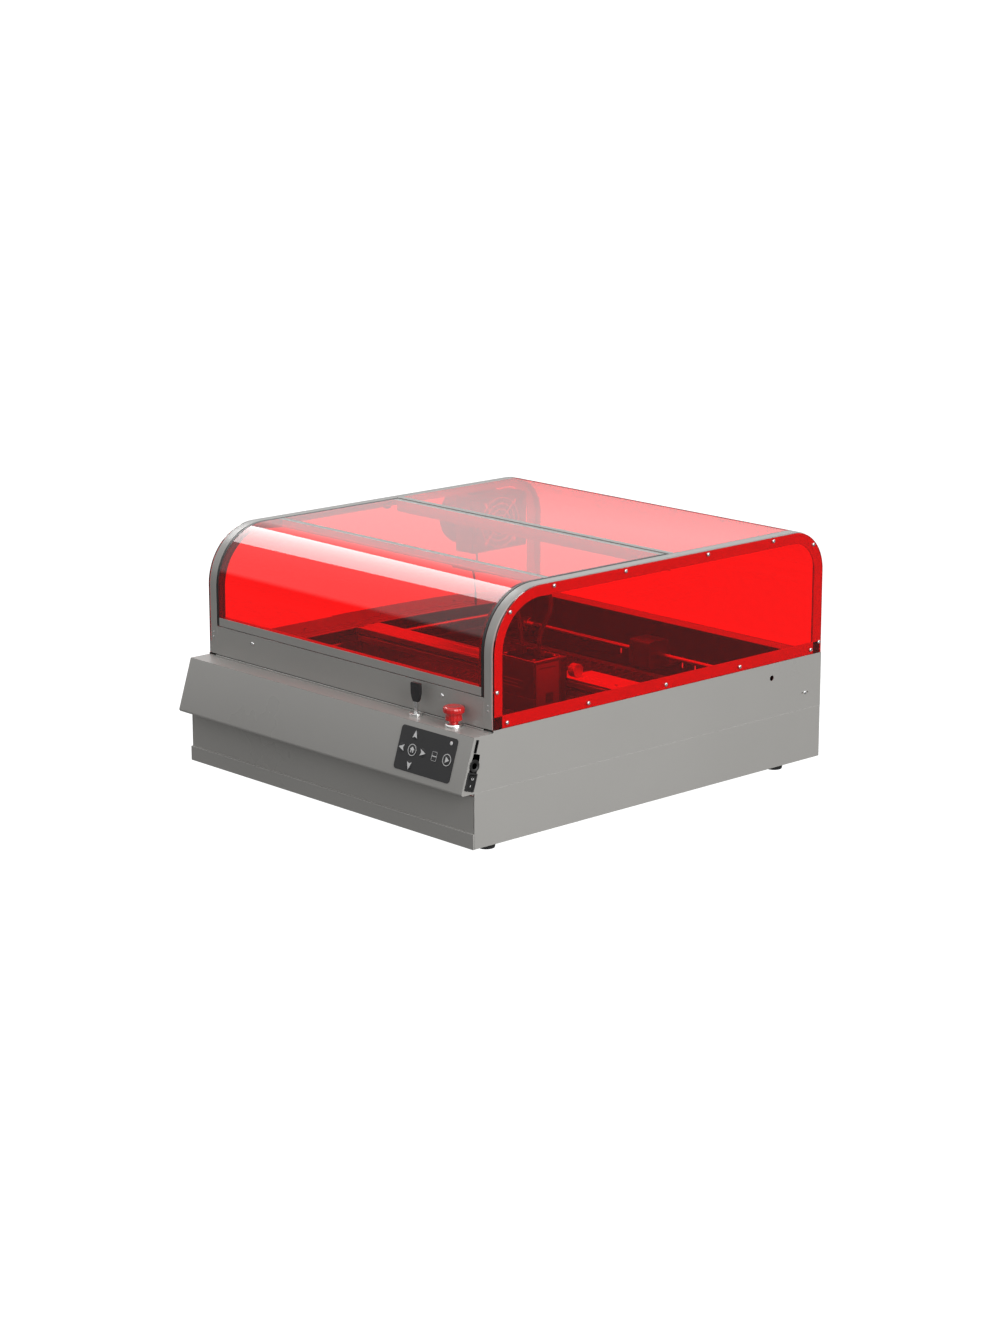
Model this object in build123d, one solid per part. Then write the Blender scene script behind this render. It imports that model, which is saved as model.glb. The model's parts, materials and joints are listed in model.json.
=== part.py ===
"""Desktop laser cutter: a sheet-metal base with a front console, a gantry laser head inside,
and a tinted hood whose front part is a lid that swings up between two fixed arch frames.

Millimetres. +X is to the right, +Y to the back, +Z up. Every sub-part is one STEP file in parts/.
The origin is the centre of the machine's footprint, on the surface it stands on.
"""
from build123d import *
import math
import os

# ---- overall sizes -------------------------------------------------------------------------------
BODY_WIDTH = 600.0
BODY_DEPTH = 675.0
LOWER_HEIGHT = 76.0          # lower tray, from its underside to the seam
UPPER_HEIGHT = 78.0          # upper chassis, from the seam to the shoulder
HOOD_HEIGHT = 183.0          # arch frames above the shoulder
SHEET = 2.0                  # folded steel sheet
ACRYLIC = 3.0                # tinted windows
RUN_GAP = 0.3                # clearance between pieces that slide past each other
BORE_GAP = 0.05              # radial clearance of a shaft in its bore

# ---- feet ----------------------------------------------------------------------------------------
FOOT_HEIGHT = 13.0
FOOT_RADIUS = 13.0
FOOT_SIDE_INSET = 30.0
FOOT_FRONT_INSET = 48.0
FOOT_REAR_INSET = 63.0

# ---- heights and planes that several pieces share ------------------------------------------------
HALF_WIDTH = BODY_WIDTH / 2
WALL_IN = HALF_WIDTH - SHEET
FLOOR_Z = FOOT_HEIGHT
SEAM_Z = FLOOR_Z + LOWER_HEIGHT
SHOULDER_Z = SEAM_Z + UPPER_HEIGHT
DECK_DROP = 3.0
DECK_Z = SHOULDER_Z - DECK_DROP
HOOD_TOP = SHOULDER_Z + HOOD_HEIGHT
REAR_IN = BODY_DEPTH - SHEET

# ---- chassis -------------------------------------------------------------------------------------
TRAY_FLANGE = 24.0           # inward flange on top of the lower tray, which carries the bed
SHOULDER_FLANGE = 28.0       # inward flange that the arch frames stand on
DECK_BACK = 50.0             # rear edge of the deck plate
BAY_WALL_Y = 32.0            # wall between the console's electronics and the work chamber
HEM_DEPTH = 3.0              # small hem under the console
HEM_HEIGHT = 2.5
CABLE_HOLE_R = 4.0
CABLE_HOLE_REAR_INSET = 104.5
CABLE_HOLE_DROP = 21.0
PIN_HOLE_R = 1.2
PIN_HOLE_REAR_INSETS = (27.0, 39.0)
PIN_HOLE_DROP = 54.0
VENT_SLOTS = 9
VENT_PITCH = 26.0
VENT_LENGTH = 18.0
VENT_RISE = 14.0
VENT_WIDTH = 3.6

# ---- console -------------------------------------------------------------------------------------
CONSOLE_REACH = 23.0         # how far its lower edge stands in front of the deck's front edge
CONSOLE_BOTTOM = 2.5         # height of the face's lower edge above the seam
CONSOLE_CORNER = 2.0
FACE_RISE = DECK_Z - SEAM_Z - CONSOLE_BOTTOM
FACE_ANGLE = math.degrees(math.atan2(CONSOLE_REACH, FACE_RISE))
FACE_PLANE = Plane(
    origin=(0, 0, DECK_Z),
    x_dir=(1, 0, 0),
    z_dir=(0, -math.cos(math.radians(FACE_ANGLE)), math.sin(math.radians(FACE_ANGLE))),
)

# ---- keypad on the console's face ----------------------------------------------------------------
PAD_WIDTH = 110.0
PAD_HEIGHT = 59.5
PAD_RIGHT_INSET = 27.0
PAD_TOP = 7.5                # distance down the face
PAD_CORNER = 5.0
PAD_THICK = 0.8
KEY_GAP = 0.25
KEY_PROUD = 0.3
KEY_DEPTH = 4.0
KEY_TRAVEL = 0.5
ROUND_KEY_R = 9.2
ARROW_KEY_R = 6.2
ARROW_SPREAD = 20.3
STOP_KEY_SIZE = (11.0, 14.0)
STOP_KEY_CORNER = 1.5
HOME_KEY_INSET = 29.0        # from the panel's left edge
STOP_KEY_INSET = 72.5
START_KEY_INSET = 97.0
KEY_ROW = 37.5               # distance of the main row down the face

# ---- key switch and emergency stop on the deck ---------------------------------------------------
KEYSWITCH_INSET = 137.0     # from the right-hand side
KEYSWITCH_Y = 21.0
KEY_BEZEL_R = 9.5
KEY_BEZEL_HEIGHT = 4.0
KEY_BODY_R = 8.0
KEY_BODY_LENGTH = 28.0
KEY_PLUG_R = 5.0
KEY_BLADE_SIZE = (6.0, 2.2, 15.0)
KEY_HEAD_SIZE = (18.0, 4.5, 26.0)
KEY_HEAD_CORNER = 5.0
ESTOP_INSET = 59.5
ESTOP_Y = 18.0
ESTOP_COLLAR_R = 12.0
ESTOP_COLLAR_HEIGHT = 5.0
ESTOP_BODY_R = 9.0
ESTOP_BODY_LENGTH = 20.0
ESTOP_STEM_R = 6.0
ESTOP_HEAD_R = 14.7
ESTOP_WAIST_R = 11.5
ESTOP_HEAD_HEIGHT = 19.0
ESTOP_CROWN = 8.5            # height of the crown above its widest edge
ESTOP_WAIST_IN = 1.0
ESTOP_EDGE = 3.0             # slope round the top
ESTOP_TRAVEL = 4.0
ESTOP_LIFT = ESTOP_TRAVEL + 0.5

# ---- ports and rocker switch on the right end of the console -------------------------------------
PORT_SETBACK = 11.0          # from the face line, inwards
CARD_SETBACK = 7.0
CARD_DOWN = 10.8
USB_DOWN = 23.0
JACK_DOWN = 36.0
ROCKER_DOWN = 57.5
CARD_SLOT = (3.0, 15.4)      # width and length of the moulding's slot
USB_SLOT = (9.0, 3.4)
PORT_RIM = 1.2
PORT_DEPTH = 16.0
JACK_R = 8.5
JACK_HOLE_R = 4.2
JACK_PIN_R = 1.2
JACK_DEPTH = 22.0
ROCKER_SIZE = (16.4, 24.6)
ROCKER_RIM = 2.2
ROCKER_PROUD = 1.5
ROCKER_DEPTH = 16.0
ROCKER_PADDLE_THICK = 7.0
ROCKER_PADDLE_PROUD = 2.2
ROCKER_SWING = 7.0           # degrees each way from level; it rests tipped to one side
PADDLE_VALLEY = 1.0
PADDLE_TAPER = 3.0
PADDLE_PIN_R = 1.0
PADDLE_PIN_PROUD = 0.2

# ---- hood: arch frames and windows ---------------------------------------------------------------
ARCH_SETBACK = 34.0          # front plane of the arches, the apron and the lid
ARCH_FRONT_R = 85.0
ARCH_REAR_R = 62.0
ARCH_RIM = 15.5              # width of the rim across the machine
ARCH_FLANGE = 17.0           # width of the flange that the side window is screwed to
WINDOW_EDGE = 1.0            # how far the side window stays inside the arch's outline
APRON_TOP = 44.0             # top of the front apron above the deck
APRON_HEM = 2.5              # small flange along the apron's foot
LID_SEAM = 1.0
LID_GAP = 1.5                # between the lid and the arch rims
LID_RAIL_HEIGHT = 12.0
LID_RAIL_DEPTH = 12.0
LID_FRAME_WIDTH = 4.0
LID_LEDGE = 6.0
LID_FRAME_DEPTH = 9.0
LID_BAR_WIDTH = 9.0
LID_BAR_DEPTH = 11.0
LID_BAR_FRONT = 147.0        # front edge of the stiffening bar
LID_REAR_EDGE = 374.0
PIVOT_INSET = 20.0           # lid pivot in front of the lid's rear edge
PIVOT_R = 3.0
PIVOT_LUG_R = 8.0
PIVOT_BOSS_R = 6.0
PIVOT_DROP = SHEET + PIVOT_BOSS_R    # lid pivot below the top of the hood
LID_SWING = 75.0             # degrees
CROSSBAR_GAP = 2.5
CROSSBAR_WIDTH = 9.0
CROSSBAR_HEIGHT = 9.0
CROSSBAR_FLANGE = 24.0
CROSSBAR_PROUD = 1.0
INTERLOCK_SIZE = (16.0, 8.0, 20.0)
INTERLOCK_INSET = 41.5       # from the arch rim
INTERLOCK_DROP = 5.0
INTERLOCK_TIP_R = 1.8

# ---- screws --------------------------------------------------------------------------------------
SCREW_HEAD_R = 2.75
SCREW_HEAD_HEIGHT = 1.6
SCREW_R = 1.5
SCREW_HOLE_R = 1.6
SCREW_LENGTH = 8.0
SCREW_EDGE = 6.0             # from the arch's outline
BOTTOM_ROW_RISE = 7.0
BOTTOM_ROW_COUNT = 5
BOTTOM_ROW_FRONT = 24.0      # from the arch's front plane
BOTTOM_ROW_REAR = 23.0
TOP_ROW_FRONT = 23.0         # from the end of the front bend
TOP_ROW_REAR = 45.0          # from the start of the rear bend
TOP_ROW_STEP = 133.0         # between the outer screw and the next one, at both ends
FRONT_LEG_RISE = 50.0
REAR_LEG_RISE = 16.0
APRON_SCREW_X = 200.0
APRON_SCREW_DROP = 12.0      # below the apron's top edge
RIM_SCREW_R = 1.3
RIM_SCREW_PROUD = 0.6
RIM_SCREW_RISES = (24.5, 31.5)   # on the front of each arch, above the shoulder

# ---- exhaust fan on the left window --------------------------------------------------------------
FAN_REAR_INSET = 110.0       # fan axis in front of the back
FAN_DROP = 62.0              # fan axis below the top of the hood
FAN_WIDTH = 112.0
FAN_HEIGHT = 84.0
FAN_THICK = 38.0
FAN_BORE_R = 40.0
FAN_HUB_R = 15.0
FAN_TIP_R = 38.0
FAN_BLADES = 7
FAN_BLADE_PITCH = 38.0
FAN_BLADE_THICK = 1.6
FAN_BLADE_CHORD = 25.0
FAN_ROOT = 2.0               # how far blades and struts run into what they join
FAN_ROTOR_GAP = 1.0
FAN_ROTOR_SETBACK = 4.0      # behind the frame's front
FAN_SHAFT_R = 2.0
FAN_SHAFT_LENGTH = 28.0
STATOR_THICK = 5.0
STATOR_STRUTS = 4
STATOR_STRUT_WIDTH = 5.0
GUARD_THICK = 2.0
GUARD_WIRE = 2.0
GUARD_RING_RADII = (11.0, 20.0, 29.0, 38.0)
GUARD_SPAN = 88.0
DUCT_R = 44.0
DUCT_WALL = 2.5
DUCT_LENGTH = 50.0
DUCT_FLANGE_R = 52.0
DUCT_FLANGE_THICK = 3.0
FAN_CABLE_R = 1.75
FAN_CABLE_FORWARD = 32.0     # in front of the fan axis
FAN_CABLE_INSET = 21.0       # from the side window

# ---- work bed and debris drawer ------------------------------------------------------------------
BED_HEIGHT = 12.0
BED_SIDE_GAP = 8.0           # between the bed and the side walls
BED_FRONT = 60.0
BED_REAR_GAP = 73.0
BED_RIM = 14.0
BED_SLATS = 30
BED_SLAT_THICK = 1.5
DRAWER_SIDE_GAP = 0.6
DRAWER_TOP_GAP = 2.0
DRAWER_LIP_HEIGHT = 21.0
DRAWER_LIP_PROUD = 3.0
DRAWER_WALL = 1.5
DRAWER_INSET = 18.0          # between the tray's sides and the side walls
DRAWER_REAR_GAP = 113.0
DRAWER_FLOOR_RISE = 6.0
DRAWER_TOP_RISE = 60.0
DRAWER_FLANGE = 14.0
DRAWER_TRAVEL = 400.0
RUNNER_LEDGE = 15.0
RUNNER_LEG = 18.0

# ---- gantry --------------------------------------------------------------------------------------
BEAM_FRONT = 280.0
BEAM_DEPTH = 40.0
BEAM_HEIGHT = 20.0
BEAM_TOP = SHOULDER_Z + 4.0
BEAM_SEAT = 8.0              # how far the beam's ends lie on the trucks
BEAM_SLOT = 4.0
TRUCK_SIDE_GAP = 4.0
TRUCK_WIDTH = 40.0
TRUCK_LENGTH = 60.0
TRUCK_HEIGHT = 18.0
ROD_INSET = 14.0             # rod axis from the side wall
ROD_R = 5.0
ROD_BRACKET_WIDTH = 28.0
ROD_BRACKET_DEPTHS = (26.0, 28.0)    # front pair, rear pair
ROD_BRACKET_REAR_GAP = 33.0
ROD_BRACKET_RISE = 17.0      # above the rod's axis
GANTRY_FRONT_GAP = 29.4      # between the head and the bay wall at the front of its travel
GANTRY_REAR_GAP = 32.0       # between the trucks and the rear brackets at the back of it
END_PLATE_OVERHANG = 6.0
END_PLATE_WIDTH = 96.0
END_PLATE_DEPTH = 54.0
END_PLATE_THICK = 3.0

# ---- belts, pulleys and motors -------------------------------------------------------------------
BELT_THICK = 1.5
BELT_WIDTH = 6.0
BELT_GAP = 0.3
MOTOR_SIZE = 42.0
MOTOR_CORNER = 4.0
X_MOTOR_HEIGHT = 38.0
X_MOTOR_GAP = 2.0            # between the motor and the truck
X_PULLEY_INSET = BEAM_SEAT + MOTOR_SIZE / 2 + X_MOTOR_GAP    # from the beam's ends
X_BORE_DEPTH = 19.0
X_PULLEY_R = 9.7
X_PULLEY_HEIGHT = 10.0
X_SHAFT_R = 2.5
Y_MOTOR_LENGTH = 42.0
Y_PULLEY_GAP = 10.0          # between a bracket and the middle of its pulley
Y_PULLEY_R = 8.0
Y_PULLEY_WIDTH = 10.0
Y_FLANGE_R = 10.5
Y_FLANGE_THICK = 1.5
Y_SHAFT_R = 4.0
Y_IDLER_PIN_R = 2.5
Y_IDLER_INSET = 14.0         # pulley axis behind the front bracket's front
Y_DRIVE_INSET = 16.0
Y_AXIS_DROP = 20.0           # pulley axis below the rod's axis

# ---- laser head ----------------------------------------------------------------------------------
HEAD_X = 150.0               # where the head is parked
HEAD_WIDTH = 70.0
HEAD_DEPTH = 53.0
HEAD_HEIGHT = 76.0
HEAD_RISE = 38.0             # head top above the beam's top
HEAD_CORNER = 3.0
CARRIAGE_WIDTH = 64.0
CARRIAGE_THICK = 13.0
CARRIAGE_LIP = 3.0
CARRIAGE_HOOK = 2.5          # how far its lips reach over the beam
CARRIAGE_BELOW = 16.0
CARRIAGE_ABOVE = 34.0
CARRIAGE_STOP_GAP = 3.0      # between the carriage and the motor at the left end
CARRIAGE_RIGHT = 50.0
TONGUE_WIDTH = 16.0
GUIDE_WIDTH = 10.0
GUIDE_DEPTH = 4.0
NOZZLE_R = 8.0
NOZZLE_TIP_R = 4.0
NOZZLE_BORE_R = 2.0
NOZZLE_LENGTH = 12.0
FOCUS_DOWN = 12.0
FOCUS_UP = 8.0
FOCUS_KNOB_R = 9.5
FOCUS_KNOB_THICK = 12.0
FOCUS_KNOB_REACH = 26.0      # outer face beyond the head's side
FOCUS_SHAFT_R = 2.5
FOCUS_DROP = 18.0            # knob axis below the head's top
CABLE_R = 3.0
CABLE_ARC_SHARE = 0.45       # share of the shorter run that an arc takes
POST_SIZE = (14.0, 9.0, 12.0)

# ---- control board -------------------------------------------------------------------------------
BOARD_X = (-60.0, 130.0)
BOARD_Y = (0.0, 28.0)
BOARD_RISE = 8.0
BOARD_THICK = 1.6
PILLAR_R = 3.0
PILLAR_INSET = 6.0
CHIP_SIZES = ((30.0, 16.0, 9.0), (14.0, 14.0, 3.0), (22.0, 12.0, 12.0))

# ---- places worked out from the sizes above ------------------------------------------------------
KEYSWITCH_X = HALF_WIDTH - KEYSWITCH_INSET
ESTOP_X = HALF_WIDTH - ESTOP_INSET
RIM_IN = HALF_WIDTH - ACRYLIC - ARCH_RIM
FLANGE_OUT = HALF_WIDTH - ACRYLIC
RIM_SCREW_X = (RIM_IN + FLANGE_OUT) / 2
LID_HALF = RIM_IN - LID_GAP
GLASS_HALF = LID_HALF - LID_FRAME_WIDTH
LID_BOTTOM = DECK_Z + APRON_TOP + LID_SEAM
PIVOT_Y = LID_REAR_EDGE - PIVOT_INSET
PIVOT_Z = HOOD_TOP - PIVOT_DROP
INTERLOCK_X = RIM_IN - INTERLOCK_INSET
FAN_Y = BODY_DEPTH - FAN_REAR_INSET
FAN_Z = HOOD_TOP - FAN_DROP
FAN_INNER_X = -(FLANGE_OUT - FAN_THICK)
FAN_CABLE_X = -(FLANGE_OUT - FAN_CABLE_INSET)
FAN_CABLE_Y = FAN_Y - FAN_CABLE_FORWARD
BED_HALF_WIDTH = WALL_IN - BED_SIDE_GAP
BED_BACK = REAR_IN - BED_REAR_GAP
DRAWER_HALF_WIDTH = WALL_IN - DRAWER_INSET
DRAWER_LENGTH = REAR_IN - DRAWER_REAR_GAP
ROD_X = WALL_IN - ROD_INSET
ROD_BRACKET_INNER = WALL_IN - ROD_BRACKET_WIDTH
ROD_BRACKET_FRONT = (BAY_WALL_Y + SHEET, BAY_WALL_Y + SHEET + ROD_BRACKET_DEPTHS[0])
ROD_BRACKET_REAR = (REAR_IN - ROD_BRACKET_REAR_GAP - ROD_BRACKET_DEPTHS[1], REAR_IN - ROD_BRACKET_REAR_GAP)
Y_IDLER_Y = ROD_BRACKET_FRONT[0] + Y_IDLER_INSET
Y_DRIVE_Y = ROD_BRACKET_REAR[0] + Y_DRIVE_INSET
Y_PULLEY_X = ROD_BRACKET_INNER - Y_PULLEY_GAP
TRUCK_OUTER = WALL_IN - TRUCK_SIDE_GAP
TRUCK_INNER = TRUCK_OUTER - TRUCK_WIDTH
BEAM_HALF_LENGTH = TRUCK_INNER + BEAM_SEAT
X_PULLEY_X = BEAM_HALF_LENGTH - X_PULLEY_INSET
END_PLATE_OUTER = BEAM_HALF_LENGTH + END_PLATE_OVERHANG
END_PLATE_INNER = END_PLATE_OUTER - END_PLATE_WIDTH
ROD_Z = BEAM_TOP - BEAM_HEIGHT - TRUCK_HEIGHT / 2
TRUCK_Y = BEAM_FRONT + BEAM_DEPTH / 2
Y_AXIS_Z = ROD_Z - Y_AXIS_DROP
BEAM_BOTTOM = BEAM_TOP - BEAM_HEIGHT
X_AXIS_Y = BEAM_FRONT + BEAM_DEPTH / 2
X_AXIS_Z = BEAM_TOP - BEAM_HEIGHT / 2
X_PITCH_R = X_PULLEY_R + BELT_GAP + BELT_THICK / 2
Y_PITCH_R = Y_PULLEY_R + BELT_GAP + BELT_THICK / 2
HEAD_TOP = BEAM_TOP + HEAD_RISE
HEAD_BOTTOM = HEAD_TOP - HEAD_HEIGHT
CARRIAGE_BACK = BEAM_FRONT - RUN_GAP
CARRIAGE_FRONT = CARRIAGE_BACK - CARRIAGE_THICK
HEAD_BACK = CARRIAGE_FRONT - RUN_GAP
HEAD_FRONT = HEAD_BACK - HEAD_DEPTH
HEAD_MID_Y = (HEAD_FRONT + HEAD_BACK) / 2
FOCUS_Z = HEAD_TOP - FOCUS_DROP
FOCUS_Y = (CARRIAGE_FRONT + CARRIAGE_BACK) / 2
PAD_LEFT = HALF_WIDTH - PAD_RIGHT_INSET - PAD_WIDTH
OVERSIZE = 5.0               # how far a cutting tool runs past what it cuts

# ---- travel of each moving piece, each way from the modelled pose --------------------------------
TRAVELS = {
    "lid": (0, LID_SWING),                                       # degrees, opening
    "drawer": (0, DRAWER_TRAVEL),                                # mm, out to the front
    "gantry": (-(HEAD_FRONT - BAY_WALL_Y - SHEET - GANTRY_FRONT_GAP),
               ROD_BRACKET_REAR[0] - GANTRY_REAR_GAP - TRUCK_Y - TRUCK_LENGTH / 2),
    "carriage": (-(HEAD_X - CARRIAGE_WIDTH / 2 + X_PULLEY_X - MOTOR_SIZE / 2 - CARRIAGE_STOP_GAP),
                 CARRIAGE_RIGHT),
    "laser": (-FOCUS_DOWN, FOCUS_UP),
    "estop": (0, ESTOP_TRAVEL),
    "button": (0, KEY_TRAVEL),
    "rocker": (-2 * ROCKER_SWING, 0),                            # degrees
}


# ---- plain shapes --------------------------------------------------------------------------------
def block(x, y, z):
    """Box between two limits along each axis."""
    size = [span[1] - span[0] for span in (x, y, z)]
    middle = [(span[0] + span[1]) / 2 for span in (x, y, z)]
    return Pos(*middle) * Box(*size)


def rod_x(x, y, z, radius):
    """Round bar along X between the two limits in x."""
    return Pos((x[0] + x[1]) / 2, y, z) * Rot(0, 90, 0) * Cylinder(radius, x[1] - x[0])


def rod_y(x, y, z, radius):
    """Round bar along Y between the two limits in y."""
    return Pos(x, (y[0] + y[1]) / 2, z) * Rot(90, 0, 0) * Cylinder(radius, y[1] - y[0])


def rod_z(x, y, z, radius):
    """Round bar along Z between the two limits in z."""
    return Pos(x, y, (z[0] + z[1]) / 2) * Cylinder(radius, z[1] - z[0])


def both_sides(shape):
    """A piece of the right-hand side, and its mirror image on the left."""
    return [shape, mirror(shape, about=Plane.YZ)]


def slab_yz(points, x):
    """Polygon in the YZ plane, extruded between two limits along X."""
    face = Plane.YZ * make_face(Polyline(*points, close=True))
    return Pos(x[0], 0, 0) * extrude(face, x[1] - x[0])


def hood_slab(inset, low, x):
    """Side view of the hood, moved inwards by an inset, down to low, extruded along X."""
    front = ARCH_SETBACK + inset
    back = BODY_DEPTH - inset
    top = HOOD_TOP - inset
    front_r = ARCH_FRONT_R - inset
    rear_r = ARCH_REAR_R - inset
    bulge = 1 - math.cos(math.radians(45))
    outline = [
        Line((front, low), (front, top - front_r)),
        ThreePointArc((front, top - front_r), (front + front_r * bulge, top - front_r * bulge),
                      (front + front_r, top)),
        Line((front + front_r, top), (back - rear_r, top)),
        ThreePointArc((back - rear_r, top), (back - rear_r * bulge, top - rear_r * bulge),
                      (back, top - rear_r)),
        Line((back, top - rear_r), (back, low)),
        Line((back, low), (front, low)),
    ]
    return Pos(x[0], 0, 0) * extrude(Plane.YZ * make_face(outline), x[1] - x[0])


def hood_skin(outer, inner, x, low=SHOULDER_Z):
    """Layer of the hood between two insets, open at the bottom."""
    past = (x[0] - OVERSIZE, x[1] + OVERSIZE)
    return hood_slab(outer, low, x) - hood_slab(inner, low - OVERSIZE, past)


def window_screw_places():
    """Places (y, z) of the screws that hold one side window."""
    bottom_span = BODY_DEPTH - BOTTOM_ROW_REAR - ARCH_SETBACK - BOTTOM_ROW_FRONT
    step = bottom_span / (BOTTOM_ROW_COUNT - 1)
    places = [(ARCH_SETBACK + BOTTOM_ROW_FRONT + step * i, SHOULDER_Z + BOTTOM_ROW_RISE)
              for i in range(BOTTOM_ROW_COUNT)]
    top_front = ARCH_SETBACK + ARCH_FRONT_R + TOP_ROW_FRONT
    top_rear = BODY_DEPTH - ARCH_REAR_R - TOP_ROW_REAR
    top_row = (top_front, top_front + TOP_ROW_STEP, top_rear - TOP_ROW_STEP, top_rear)
    places += [(y, HOOD_TOP - SCREW_EDGE) for y in top_row]
    reach = math.cos(math.radians(45))
    front_r, rear_r = ARCH_FRONT_R - SCREW_EDGE, ARCH_REAR_R - SCREW_EDGE
    places.append((ARCH_SETBACK + ARCH_FRONT_R - front_r * reach,
                   HOOD_TOP - ARCH_FRONT_R + front_r * reach))
    places.append((BODY_DEPTH - ARCH_REAR_R + rear_r * reach,
                   HOOD_TOP - ARCH_REAR_R + rear_r * reach))
    places.append((ARCH_SETBACK + SCREW_EDGE, SHOULDER_Z + FRONT_LEG_RISE))
    places.append((BODY_DEPTH - SCREW_EDGE, SHOULDER_Z + REAR_LEG_RISE))
    return places


def port_frame(down, setback):
    """Place on the right end wall, given down the console's slope and back from its face.

    Local +Z runs up the slope, +X points out of the wall.
    """
    slope = math.radians(FACE_ANGLE)
    y = -down * math.sin(slope) + setback * math.cos(slope)
    z = DECK_Z - down * math.cos(slope) - setback * math.sin(slope)
    return Pos(HALF_WIDTH, y, z) * Rot(-FACE_ANGLE, 0, 0)


def on_face(x, down):
    """Place on the console's sloping face; local +Z points out of it."""
    return FACE_PLANE.location * Pos(x, -down, 0)


# ---- chassis -------------------------------------------------------------------------------------
def make_base_tray():
    """Lower tray, open at the top and at the front, where the drawer goes in."""
    depth = (0, BODY_DEPTH)
    height = (FLOOR_Z, SEAM_Z)
    tray = block((-HALF_WIDTH, HALF_WIDTH), depth, (FLOOR_Z, FLOOR_Z + SHEET))
    walls = both_sides(block((WALL_IN, HALF_WIDTH), depth, height))
    flanges = both_sides(block((WALL_IN - TRAY_FLANGE, WALL_IN), depth, (SEAM_Z - SHEET, SEAM_Z)))
    rear = block((-HALF_WIDTH, HALF_WIDTH), (REAR_IN, BODY_DEPTH), height)
    return tray + walls + flanges + rear


def make_upper_chassis():
    """Upper half: side walls that take in the console's ends, deck, bay wall, rear wall, shoulder."""
    side = [(BODY_DEPTH, SEAM_Z), (BODY_DEPTH, SHOULDER_Z), (ARCH_SETBACK, SHOULDER_Z),
            (ARCH_SETBACK, DECK_Z), (0, DECK_Z), (-CONSOLE_REACH, SEAM_Z + CONSOLE_BOTTOM),
            (-CONSOLE_REACH + CONSOLE_CORNER, SEAM_Z)]
    across = (-WALL_IN, WALL_IN)
    shell = block(across, (0, DECK_BACK), (DECK_Z - SHEET, DECK_Z))
    shell += both_sides(slab_yz(side, (WALL_IN, HALF_WIDTH)))
    shell += block(across, (BAY_WALL_Y, BAY_WALL_Y + SHEET), (SEAM_Z, DECK_Z))
    shell += block(across, (0, BAY_WALL_Y), (SEAM_Z, SEAM_Z + SHEET))
    shell += block(across, (REAR_IN, BODY_DEPTH), (SEAM_Z, SHOULDER_Z))
    shoulder = (SHOULDER_Z - SHEET, SHOULDER_Z)
    shelf_x = (HALF_WIDTH - SHOULDER_FLANGE, WALL_IN)
    shell += both_sides(block(shelf_x, (ARCH_SETBACK + SHEET, REAR_IN), shoulder))
    shell += block(across, (BODY_DEPTH - SHOULDER_FLANGE, REAR_IN), shoulder)

    past_wall = (WALL_IN - OVERSIZE, HALF_WIDTH + OVERSIZE)
    hole_y = BODY_DEPTH - CABLE_HOLE_REAR_INSET
    shell -= rod_x(past_wall, hole_y, SHOULDER_Z - CABLE_HOLE_DROP, CABLE_HOLE_R)
    for inset in PIN_HOLE_REAR_INSETS:
        shell -= rod_x(past_wall, BODY_DEPTH - inset, SHOULDER_Z - PIN_HOLE_DROP, PIN_HOLE_R)
    screw_y = BODY_DEPTH - sum(PIN_HOLE_REAR_INSETS) / 2
    shell -= rod_x(past_wall, screw_y, SHOULDER_Z - PIN_HOLE_DROP, SCREW_HOLE_R)
    shell -= rod_z(ESTOP_X, ESTOP_Y, (DECK_Z - OVERSIZE, DECK_Z + OVERSIZE), ESTOP_BODY_R)
    shell -= rod_z(KEYSWITCH_X, KEYSWITCH_Y, (DECK_Z - OVERSIZE, DECK_Z + OVERSIZE), KEY_BODY_R)
    cut = 2 * OVERSIZE
    for down, setback, (width, height) in ((CARD_DOWN, CARD_SETBACK, CARD_SLOT),
                                           (USB_DOWN, PORT_SETBACK, USB_SLOT)):
        shell -= port_frame(down, setback) * Box(cut, width + 2 * PORT_RIM, height + 2 * PORT_RIM)
    shell -= port_frame(JACK_DOWN, PORT_SETBACK) * Rot(0, 90, 0) * Cylinder(JACK_R - PORT_RIM, cut)
    width, height = ROCKER_SIZE
    shell -= port_frame(ROCKER_DOWN, PORT_SETBACK) * Box(cut, width - ROCKER_RIM, height - ROCKER_RIM)
    for i in range(VENT_SLOTS):
        x = VENT_PITCH * (i - (VENT_SLOTS - 1) / 2)
        slot = extrude(Plane.XZ * SlotOverall(VENT_LENGTH, VENT_WIDTH, rotation=90), OVERSIZE, both=True)
        shell -= Pos(x, BODY_DEPTH, SEAM_Z + VENT_RISE) * slot
    return shell


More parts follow.
